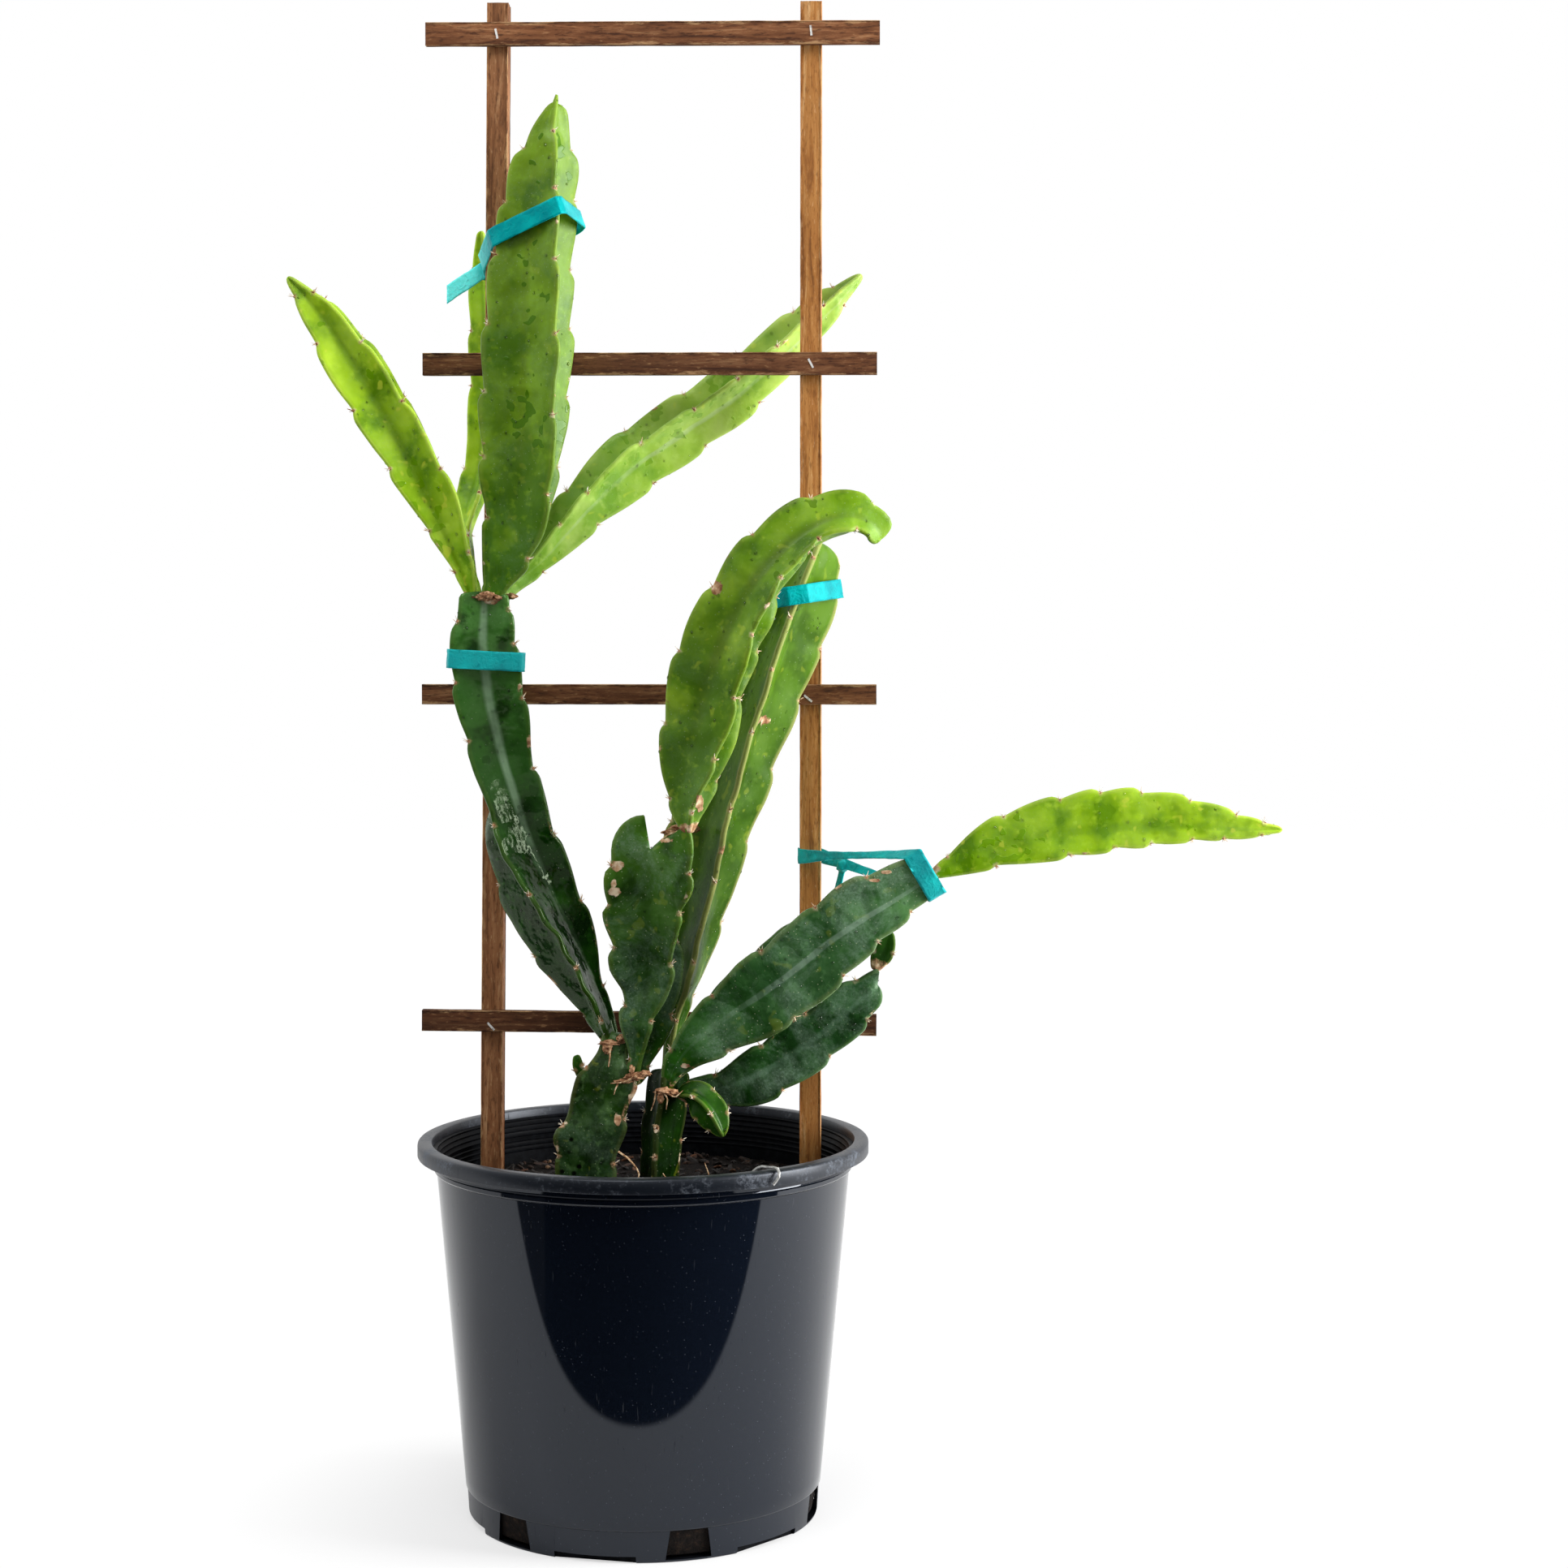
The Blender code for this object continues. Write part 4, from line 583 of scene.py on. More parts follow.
def lobe_phase(areoles, at):
    """Share (0 to 1) of the way from one areole to the next along a rib's margin."""
    marks = list(areoles)
    if len(marks) == 1:
        marks.append(marks[0] + 12.0)
    while marks[0] > at:
        marks.insert(0, 2 * marks[0] - marks[1])
    while marks[-1] <= at:
        marks.append(2 * marks[-1] - marks[-2])
    k = max(i for i, mark in enumerate(marks) if mark <= at)
    return (at - marks[k]) / (marks[k + 1] - marks[k])


def lobe_wave(phase):
    """Outline of one lobe of a margin: it swells slowly up to its shoulder, then steps in to the areole."""
    if phase < SHOULDER_AT:
        return math.sin(0.5 * math.pi * phase / SHOULDER_AT) ** 1.25
    return math.cos(0.5 * math.pi * (phase - SHOULDER_AT) / (1.0 - SHOULDER_AT)) ** 0.8


def rounding(left, length):
    """Share of a rounded end's full width, with so much of its length left."""
    return math.sqrt(max(0.0, 1.0 - (1.0 - left / length) ** 2))


def end_round(spec, at, span, crest=0.2):
    """Share that is left of a stem's width near its rounded ends. crest is the share left at the tip."""
    share = 1.0
    if at > span - spec["tip_round"]:
        share *= rounding(span - at, spec["tip_round"]) * (1.0 - crest) + crest
    if spec["stub"] is None and at < spec["foot_round"]:
        share *= rounding(at, spec["foot_round"]) * 0.4 + 0.6
    return share


def rib_reach(spec, rib_spec, at, span):
    """Distance of a rib's margin from the centre line, with its lobed margin and rounded ends."""
    start = foot_length(spec)
    reach = profile(rib_spec["reach"], (at - start) / (span - start))
    wave = lobe_wave(lobe_phase(rib_spec["areoles"], at))
    reach -= spec["notch"] * min(1.0, reach / 15.0) * (1.0 - wave)
    return float(max(reach, 1.2) * end_round(spec, at, span, rib_spec["crest"]))


def crown_lift(rib_spec, at, span):
    """How far a rib's margin stands forward of its ring, where the rib outgrows the cut end."""
    rise_from = span - CROWN_RISE
    if not rib_spec["crown"] or at < rise_from:
        return 0.0
    return float(rib_spec["crown"] * ((at - rise_from) / CROWN_RISE) ** 2)


def margin_sway(spec, k, at, span, seed):
    """How far a rib's margin bends aside at a length, as the edges of broad wings wave."""
    amount = profile(spec["sway"], at / span)
    return float(amount * noise.noise(Vector((at / SWAY_LENGTH, k * 5.7, seed * 2.3))))


def rib_axes(turn, k, at, seed):
    """A rib's outward and sideways directions in its ring, where it wanders a little."""
    turn += 0.045 * noise.noise(Vector((at / 30.0, k * 7.3, seed * 3.1)))
    return Vector((math.cos(turn), math.sin(turn))), Vector((-math.sin(turn), math.cos(turn)))


def wing_face(start, valley, end, t, softness):
    """A point on the face between two ribs: part straight, part one smooth hollow curve."""
    straight = start.lerp(valley, 2 * t) if t < 0.5 else valley.lerp(end, 2 * t - 1)
    pull = (8 * valley - start - end) / 6
    curve = ((1 - t) ** 3 * start + 3 * t * (1 - t) * pull + t ** 3 * end)
    return straight.lerp(curve, softness)


def stem_section(spec, at, span, seed):
    """Flat outline of a stem at one length, with how near each point is to a margin (0 to 1)."""
    start = foot_length(spec)
    share = max(0.0, (at - start) / (span - start))
    ribs = spec["ribs"]
    turns = [math.radians(profile(r["turn"], share)) for r in ribs]
    order = sorted(range(3), key=lambda k: (turns[k] - turns[0]) % math.tau)
    reaches = [rib_reach(spec, r, at, span) for r in ribs]
    halves = [min(spec["edge"], 0.5 * reach) for reach in reaches]
    lifts = [crown_lift(r, at, span) for r in ribs]
    sways = [margin_sway(spec, k, at, span, seed) for k in range(3)]
    look = LOOKS[spec["look"]]
    outline = []
    for place_in_ring, k in enumerate(order):
        following = order[(place_in_ring + 1) % 3]
        out, across = rib_axes(turns[k], k, at, seed)
        out_next, across_next = rib_axes(turns[following], following, at, seed)
        reach, half = reaches[k], halves[k]
        for degrees in MARGIN_ANGLES:
            a = math.radians(degrees)
            corner = (reach - half + half * math.cos(a)) * out + (half * math.sin(a) + sways[k]) * across
            outline.append((corner, 1.0, lifts[k]))
        gap = (turns[following] - turns[k]) % math.tau
        middle = turns[k] + gap / 2
        valley = min(spec["core"] * end_round(spec, at, span), 0.86 * min(reach, reaches[following]))
        valley *= look["valley"] if gap < 2.2 else 0.85 * look["valley"]
        bottom = valley * Vector((math.cos(middle), math.sin(middle)))
        first = (reach - half) * out + half * across
        last = (reaches[following] - halves[following]) * out_next - halves[following] * across_next
        for i in range(1, FACE_POINTS):
            t = i / FACE_POINTS
            nearness = abs(2 * t - 1)
            near, side = (k, across) if t < 0.5 else (following, across_next)
            face = wing_face(first, bottom, last, t, look["softness"])
            swell = noise.noise(Vector((at / RIPPLE_LENGTH, 2.4 * t + 3.0 * k, seed * 1.7)))
            depth = RIPPLE_DEPTH * swell * math.sin(math.pi * t) ** 0.5 * min(1.0, reach / 20.0)
            face += depth * bottom.normalized() + sways[near] * nearness ** 1.5 * side
            outline.append((face, nearness, lifts[near] * nearness ** 1.6))
    return outline


def ring_places(span, tip_round):
    """Lengths at which a stem gets a ring, closer together at its rounded ends."""
    count = max(8, round(span / RING_STEP))
    places = list(np.linspace(0.0, span, count + 1))
    places += [span - tip_round * share for share in (0.02, 0.08, 0.18, 0.32, 0.5)]
    places += [0.6, 1.4]
    places.sort()
    kept = [places[0]]
    for at in places[1:]:
        if at - kept[-1] > 0.12:
            kept.append(at)
    kept[-1] = span
    return kept


def build_stem(spec, seed, skin):
    """A stem as one closed skin, with the attributes that its material reads."""
    dense, run = spline(spec["path"])
    span = float(run[-1])
    start = foot_length(spec)
    bm = bmesh.new()
    margin, share, foot, areole = [bm.verts.layers.float.new(name) for name in SKIN_ATTRIBUTES]
    rings = []
    for at in ring_places(span, spec["tip_round"]):
        centre, along, side, front = axes_at(dense, run, at)
        ring = []
        for flat, nearness, lift in stem_section(spec, at, span, seed):
            if start and at < start + STUB_BLEND:
                round_share = min(1.0, max(0.0, (start + STUB_BLEND - at) / 4.0))
                flat = flat.lerp(flat.normalized() * min(spec["core"], STUB_RADIUS), round_share)
            place = centre + flat.x * side + flat.y * front + lift * along
            vert = bm.verts.new(place * MM)
            vert[margin], vert[share], vert[foot] = nearness, at / span, at - start
            ring.append(vert)
        rings.append((ring, centre, at))
    for (low, _, _), (high, _, _) in zip(rings, rings[1:]):
        join_rings(bm, low, high)
    for (ring, centre, at), near_tip in ((rings[0], False), (rings[-1], True)):
        middle = bm.verts.new(centre * MM)
        middle[share], middle[foot] = at / span, at - start
        for here, following in zip(ring, ring[1:] + ring[:1]):
            bm.faces.new((here, following, middle) if near_tip else (following, here, middle))
    marks = np.array([p["place"] for p in areole_places(spec, seed)])
    for vert in bm.verts:
        distance = float(np.min(np.linalg.norm(marks - np.array(vert.co) / MM, axis=1)))
        vert[areole] = math.exp(-(distance / AREOLE_HALO) ** 2)
    bmesh.ops.recalc_face_normals(bm, faces=bm.faces)
    obj = new_piece(spec["name"] + "_skin", bm, [skin], 70.0)
    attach(obj, "root")
    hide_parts(spec["name"])
    return obj


def areole_places(spec, seed):
    """Where each areole of a stem sits, with its outward and growing directions."""
    dense, run = spline(spec["path"])
    span = float(run[-1])
    start = foot_length(spec)
    found = []
    for k, rib_spec in enumerate(spec["ribs"]):
        for at in rib_spec["areoles"]:
            centre, along, side, front = axes_at(dense, run, at)
            turn = math.radians(profile(rib_spec["turn"], (at - start) / (span - start)))
            outward, across = [flat.x * side + flat.y * front for flat in rib_axes(turn, k, at, seed)]
            reach = rib_reach(spec, rib_spec, at, span)
            place = centre + (reach - 0.4) * outward + crown_lift(rib_spec, at, span) * along
            place += margin_sway(spec, k, at, span, seed) * across
            found.append({"place": tuple(place), "outward": tuple(outward), "along": tuple(along)})
    return found


def areole_tree():
    """Felt cushions with a few short spines, one at each point of an areole."""
    tree, given, result = node_group("areoles", {
        "Felt Width": "Float", "Spine Length": "Float", "Spine Radius": "Float", "Spines": "Int",
        "Seed": "Int", "Felt": "Material", "Spine": "Material"})
    outward, along = [add(tree, "InputNamedAttribute", {"Name": name}, data_type="FLOAT_VECTOR")
                      for name in ("outward", "along")]
    size, spread, length = [
        add(tree, "FunctionNodeRandomValue", {0: least, 1: most, "Seed": given["Seed"]},
            data_type="FLOAT_VECTOR")
        for least, most in (((0.42, 0.42, 0.26), (0.7, 0.62, 0.42)), ((-0.9, -0.9, -0.9), (0.9, 0.9, 0.9)),
                            ((1.0, 1.0, 0.35), (1.0, 1.0, 1.0)))]
    facing = add(tree, "FunctionNodeAlignRotationToVector", {"Vector": outward}, axis="Z")
    ball = add(tree, "MeshIcoSphere", {"Radius": given["Felt Width"], "Subdivisions": 2})
    felts = set_out(tree, given["Geometry"], ball, facing, size, given["Felt"])
    copies = add(tree, "DuplicateElements", {"Geometry": given["Geometry"], "Amount": given["Spines"]},
                 domain="POINT")
    lean = add(tree, "ShaderNodeVectorMath", {0: along, "Scale": 0.35}, operation="SCALE")
    aim = add(tree, "ShaderNodeVectorMath", [outward, spread], operation="ADD")
    aim = add(tree, "ShaderNodeVectorMath", [aim, lean], operation="ADD")
    pointing = add(tree, "FunctionNodeAlignRotationToVector", {"Vector": aim}, axis="Z")
    cone = add(tree, "MeshCone", {"Vertices": 5, "Radius Top": 0.00008, "Depth": given["Spine Length"],
                                  "Radius Bottom": given["Spine Radius"]})
    spines = set_out(tree, copies, cone, pointing, length, given["Spine"])
    both = add(tree, "JoinGeometry", [felts])
    feed(tree, both.node, [spines])
    feed(tree, result, [both])
    return tree


def build_areoles(spec, tree, seed, felt, spine):
    """The areoles of one stem, as one piece."""
    places = areole_places(spec, seed)
    mesh = bpy.data.meshes.new(spec["name"] + "_areoles")
    mesh.from_pydata([Vector(p["place"]) * MM for p in places], [], [])
    for name in ("outward", "along"):
        made = mesh.attributes.new(name, "FLOAT_VECTOR", "POINT")
        made.data.foreach_set("vector", np.array([p[name] for p in places], dtype=np.float32).ravel())
    obj = new_object(spec["name"] + "_areoles", mesh)
    slim = min(1.0, spec["edge"] / 1.5)
    grow(obj, tree, {"Felt Width": FELT_WIDTH * slim, "Spine Length": SPINE_LENGTH * slim,
                     "Spine Radius": SPINE_RADIUS, "Spines": SPINES, "Seed": seed, "Felt": felt,
                     "Spine": spine})
    obj.data.shade_smooth()
    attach(obj, "root")


def droplet_tree():
    """Water droplets on a skin, flatter than half a ball, of random sizes."""
    tree, given, result = node_group("droplets", {
        "Density": "Float", "Radius": "Float", "Seed": "Int", "Water": "Material"})
    points = add(tree, "DistributePointsOnFaces", {
        "Mesh": given["Geometry"], "Density": given["Density"], "Seed": given["Seed"]})
    ball = add(tree, "MeshIcoSphere", {"Radius": given["Radius"], "Subdivisions": 1})
    size = add(tree, "FunctionNodeRandomValue", {2: 0.35, 3: 1.0, "Seed": given["Seed"]}, data_type="FLOAT")
    flat = add(tree, "ShaderNodeVectorMath", {0: (1.0, 1.25, 0.55), "Scale": size}, operation="SCALE")
    turn = points.node.outputs["Rotation"]
    feed(tree, result, [set_out(tree, points, ball, turn, flat, given["Water"])])
    return tree


def build_droplets(skin, tree, seed, wet):
    """The droplets on one stem, as one piece."""
    obj = new_object(skin.name.replace("_skin", "_droplets"), skin.data.copy())
    grow(obj, tree, {"Density": DROPLET_DENSITY, "Radius": DROPLET_RADIUS, "Seed": seed, "Water": wet})
    obj.data.shade_smooth()
    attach(obj, "root")


# Stem skins

# What most skins have in common. Shares are 0 to 1. valley is how much of the core's depth the faces
# keep, and softness how round they are. The crease is painted light and shade along the valley in the
# middle of each face: a pale crease colour is a painted highlight, a dark one painted shade.
# The veil amount lays a pale grey-green veil on the skin: partly wax, and where it is heavy, partly painted
# sheen, the grey reflection of light on a stem's faces.
PLAIN_SKIN = {"rim": 0.25, "valley": 0.85, "softness": 0.6, "shine": 0.3, "gloss": 0.34, "cork": 0.15,
              "speckle": 0.2, "bloom": 0.04, "yellow": 0.1, "wet": 0.6, "wet_colour": "#123A08",
              "glow": 0.03, "crease_share": 0.45, "crease_width": 0.22, "crease_from": 0.1, "crease_to": 1.0,
              "ripple": 0.3, "pits": 0.0}


def skin_look(foot, base, tip, dark, light, margin, crease, **others):
    """The colours of a skin from its foot to its tip, and whatever differs from the plain skin."""
    return {**PLAIN_SKIN, "foot": foot, "base": base, "tip": tip, "dark": dark, "light": light,
            "margin": margin, "crease": crease, **others}


# Crease colours are painted light and shade: pale on the lower left arm, the right arm, the lower right arm
# and the long shoot, as painted highlights along their valleys; dark on the other stems, as painted shade in
# them.
LOOKS = {
    "stem_mature": skin_look("#0A2203", "#16320A", "#24420E", "#061402", "#587A44", "#7C7A3C", "#071602",
                             rim=0.15, valley=1.0, softness=0.7, shine=0.3, gloss=0.2, cork=0.3,
                             bloom=0.16, yellow=0.15, wet=0.5, wet_colour="#0C2003", ripple=1.0, pits=1.0),
    # Painted shade: the centre stem stands in shadow between the base stems, and its colours are near black
    # for that shadow, with almost no shine.
    "stem_core_in_painted_shade": skin_look("#061602", "#081C02", "#102806", "#040E01", "#163408", "#7A7A48", "#040E01",
                           rim=0.1, valley=1.0, softness=0.7, shine=0.02, cork=0.2, yellow=0.1,
                           wet_colour="#0C2003"),
    # The lower left arm: its tip colour is painted pale as sheen of the light on its top, and its pale
    # crease is a painted highlight along the valley.
    "stem_dark": skin_look("#082803", "#0B2C03", "#467A32", "#051602", "#24560E", "#4C6C24", "#9CBC98",
                           rim=0.3, valley=0.6, softness=0.2, shine=0.5, gloss=0.14, cork=0.2,
                           speckle=0.1, yellow=0.0, wet=0.4, wet_colour="#0A2A04", crease_share=0.75,
                           crease_width=0.24, crease_from=0.35, crease_to=1.3, ripple=1.0),
    # The lower right arm: its heavy veil is partly painted sheen, and its pale crease a painted highlight
    # along the valley.
    "stem_lower_dark": skin_look("#0C3004", "#1A4016", "#264E26", "#0A2405", "#34602C", "#5A7A40",
                                 "#7C9C84", rim=0.3, valley=0.72, softness=0.15, gloss=0.28, cork=0.2,
                                 bloom=0.5, yellow=0.0, wet=0.3, wet_colour="#0A2A04", crease_share=0.3,
                                 ripple=0.8),
    # The notched stem: its heavy veil is partly painted sheen, and its dark crease painted shade in the
    # valley.
    "stem_grey_green": skin_look("#2C6010", "#26461C", "#3E681A", "#122A0A", "#4C6E34", "#6E8430",
                                 "#1C3612", valley=0.7, softness=0.45, gloss=0.24, cork=0.2,
                                 speckle=0.4, bloom=0.4, wet=0.4, crease_share=0.5, crease_width=0.3,
                                 ripple=0.8),
    # The right arm: its heavy veil is partly painted sheen, and its pale crease a painted highlight along
    # the valley.
    "stem_bloomed": skin_look("#2C6410", "#30562E", "#3C6634", "#183A12", "#54804A", "#86965A", "#B4CCBA",
                              valley=0.8, softness=0.5, shine=0.35, gloss=0.22, cork=0.2, speckle=0.5,
                              bloom=0.5, wet=0.35, crease_share=0.8, crease_width=0.13,
                              crease_from=0.25, ripple=0.9),
    "stem_upright": skin_look("#346208", "#5A7E0C", "#6E900E", "#3A6206", "#7CA41E", "#A8B45A", "#5C6E1C",
                              rim=0.15, valley=0.9, cork=0.12, bloom=0.12, wet=0.8, wet_colour="#3E6A04",
                              glow=0.06, crease_share=0.3),
    "stem_light": skin_look("#4C7418", "#567C0E", "#6E980E", "#3A5E06", "#86A828", "#A4AA48", "#46581C",
                            rim=0.14, valley=0.6, softness=0.45, bloom=0.1, yellow=0.2, wet=0.6,
                            wet_colour="#3C6006", glow=0.06, crease_share=0.6, crease_width=0.38),
    "stem_back": skin_look("#305A0C", "#3A5E0A", "#547A12", "#2C4C04", "#587A24", "#C2BC78", "#2C4C04",
                           rim=0.4, shine=0.12, bloom=0.02, yellow=0.15, wet=0.7, wet_colour="#3C6006",
                           glow=0.06),
    "stem_young": skin_look("#7CAA0E", "#92BC14", "#A2C824", "#447600", "#B8DA3A", "#CCD868", "#4C7C02",
                            valley=0.45, softness=0.1, shine=0.35, gloss=0.3, cork=0.05, speckle=0.1,
                            bloom=0.1, yellow=0.6, wet=0.7, wet_colour="#689A00", glow=0.14,
                            crease_share=0.55, crease_width=0.35),
    "stem_fresh": skin_look("#6A9C24", "#94BA3E", "#9FBE50", "#6A9A28", "#B4D066", "#C4D678", "#B4C8A0",
                            rim=0.2, valley=0.75, softness=0.2, shine=0.35, gloss=0.3, cork=0.05,
                            speckle=0.1, bloom=0.1, yellow=0.35, wet=0.5, wet_colour="#649614", glow=0.1,
                            crease_share=0.6, crease_width=0.18),
    "stem_offset": skin_look("#143A02", "#183F02", "#265606", "#123402", "#36680C", "#7A9040", "#0E2E01",
                             rim=0.3, valley=0.75, softness=0.5, shine=0.25, gloss=0.28, cork=0.1,
                             speckle=0.1, wet=0.5, wet_colour="#2E5E04", glow=0.05),
}

# Corky collars at the joints: the centre and half-lengths of each lump
KNOTS = {
    "left_arm_joint": [((-99, 8, 568), (6, 6, 3)), ((-107, 11, 567), (4, 4, 2.5)),
                       ((-91, 9, 567), (5, 5, 2.5)), ((-97, 3, 569), (3, 3, 2)),
                       ((-84, 14, 568), (4, 4, 2))],
    "left_arm_foot_joint": [((-20, -3, 290), (7, 5, 2.2)), ((-22, -6, 287), (3, 2.5, 3.5)),
                            ((-14, -4, 293), (3, 3, 2.2))],
    "notched_stem_joint": [((-5, -9, 270), (6, 4, 2.4)), ((-12, -8, 267), (6, 3, 1.4)),
                           ((1, -10, 272), (4, 3, 1.8)), ((-7, -9, 274), (1.6, 2.5, 3))],
    "curved_stem_joint": [((24, -1, 424), (7, 4, 2)), ((31, -3, 423), (4, 3, 2.4)),
                          ((16, -3, 421), (5, 3, 1.6))],
    "right_arm_joint": [((13, -9, 261), (5.5, 4, 2.2)), ((11, -10, 257), (2, 2, 3.5)),
                        ((19, -9, 260), (3, 3, 2))],
}

# Corky scars on the viewer's side: the centre of each and its half-lengths along X, Y and Z
SCARS = {
    "curved_stem": [((46, -46, 573), (3.4, 16, 4.4)), ((36, -44, 441), (2.2, 16, 6))],
    "tall_back_stem": [((77, -4, 490), (6, 14, 4))],
    "notched_stem": [((-15, -26, 402), (3.6, 16, 3.2)), ((-16.5, -26, 386), (4, 16, 3)),
                     ((-17, -26, 391), (1.6, 16, 2.6)), ((12, -30, 418), (8, 16, 1.4))],
    "base_stem_left": [((-16, -10, 243), (2.2, 14, 3.6)), ((-8, -10, 256), (1.4, 14, 3.6))],
    "base_stem_centre": [((8, -8, 238), (1.6, 14, 2.8))],
    "right_arm": [((26, -17, 277), (3, 16, 1.6)), ((31, -20, 272), (3, 16, 1.2)),
                  ((150, -34, 399), (3.4, 16, 1.1)), ((143, -34, 394), (3.6, 16, 1.1))],
}

# Dry root fibres: the thickness at the base and the path of each
ROOTS = [
    (0.8, [(-4, -14, 271), (-12, -13, 267), (-20, -11, 266)]),
    (0.9, [(30, -8, 423), (17, -9, 420.5), (7, -9, 413)]),
    (0.6, [(-15, -12, 267), (-17, -12, 262.5), (-18, -11, 259)]),
    (0.8, [(-21, -8, 289), (-20.5, -10, 283), (-21.5, -9, 276)]),
    (0.7, [(12, -11, 261), (15, -12, 257), (14.5, -12, 250)]),
    (0.6, [(8, -11, 261), (7, -11, 255), (5, -10, 249)]),
    (0.6, [(15, -12, 260), (20, -13, 258), (25, -12, 262)]),
    (0.7, [(-15, -13, 224), (-8, -18, 220), (-2, -21, 212), (-5, -22, 204), (-13, -20, 201)]),
    (0.7, [(39, -4, 196), (41, -5, 206), (38, -6, 216)]),
    (0.8, [(16, -24, 196), (17, -25, 206), (13, -26, 213)]),
]

# What build_stem stores at each point: 1 at a margin and 0 between two, the share of the stem's
# length, the length above its foot, and 1 on an areole
SKIN_ATTRIBUTES = ("margin", "share", "foot", "areole")

# The patterns of a skin: grains to a metre, detail, roughness and distortion. The mottling (broad) is
# 20 to 30 mm across, the wet patches 5 to 10 mm, the blotches (fine) 5 mm and the dust 1 mm. The real
# dust and pores are finer, and are drawn this coarse so that they show.
SKIN_PATTERNS = {
    "broad": (38.0, 3.0, 0.55, 0.0), "fine": (190.0, 4.0, 0.5, 0.0), "spots": (125.0, 1.0, 0.5, 0.2),
    "wax_and_sheen": (26.0, 9.0, 0.72, 0.6), "dust": (700.0, 3.0, 0.7, 0.0), "puddles": (17.0, 2.0, 0.5, 0.0),
    "drops": (120.0, 1.5, 0.5, 0.0), "breaks": (60.0, 5.0, 0.6, 0.0), "torn": (300.0, 4.0, 0.6, 0.0),
    "ripple": (90.0, 2.0, 0.5, 0.0), "pores": (900.0, 3.0, 0.5, 0.0),
}

# To a metre: pale specks on skin and dust specks on the pot, and black pits at the base stems' feet
SPECK_SCALE = 330.0
PIT_SCALE = 150.0

# Corky lumps: how rough their surface is, as a share of their size, and how fine that roughness is
KNOT_ROUGHNESS = 0.42
KNOT_FINENESS = 2.2


def painted_valley_light_and_shade(tree, look, margin, share, broad):
    """Painted light and shade along the valley in the middle of each face.

    It is fainter at the stem's ends and in patches.
    """
    crease = add(tree, "MapRange", [margin, 0.0, look["crease_width"], look["crease_share"], 0.0],
                 interpolation_type="SMOOTHSTEP")
    low, high = look["crease_from"], look["crease_to"]
    crease = mask_with(tree, crease, "MULTIPLY", share, low, low + 0.25, 0.2)
    crease = mask_with(tree, crease, "MULTIPLY", share, high, high - 0.2, 0.2)
    return mask_with(tree, crease, "MULTIPLY", broad, 0.36, 0.56, 0.45)


def skin_cork(tree, spec, look, seen, place, margin, foot, areole):
    """Where the skin has turned to cork: margins, areoles, the foot of a young stem, and scars."""
    worn = 0.66 - 0.22 * look["cork"]
    bark = add(tree, "MapRange", [seen["breaks"], worn, worn + 0.04, 0.0, 1.0])
    bark = mask_with(tree, bark, "MULTIPLY", margin, 0.95, 1.0)
    bark = mask_with(tree, bark, "MAXIMUM", areole, 0.45, 0.9, 0.0, 0.7)
    if spec["stub"] is None:
        ragged = add(tree, "Math", [seen["breaks"], 0.5], operation="SUBTRACT")
        ragged = add(tree, "Math", [ragged, 30.0, foot], operation="MULTIPLY_ADD")
        bark = mask_with(tree, bark, "MAXIMUM", ragged, JOINT_CORK, 0.6 * JOINT_CORK)
    for centre, stretch in SCARS.get(spec["name"], ()):
        away = add(tree, "VectorMath", [place, Vector(centre) * MM], operation="SUBTRACT")
        away = add(tree, "VectorMath", [away, [1.0 / (half * MM) for half in stretch]], operation="MULTIPLY")
        away = add(tree, "VectorMath", [away], operation="LENGTH")
        ragged = add(tree, "Math", [seen["torn"], 1.6, away], operation="MULTIPLY_ADD")
        bark = mask_with(tree, bark, "MAXIMUM", ragged, 1.90, 1.72)
    return bark


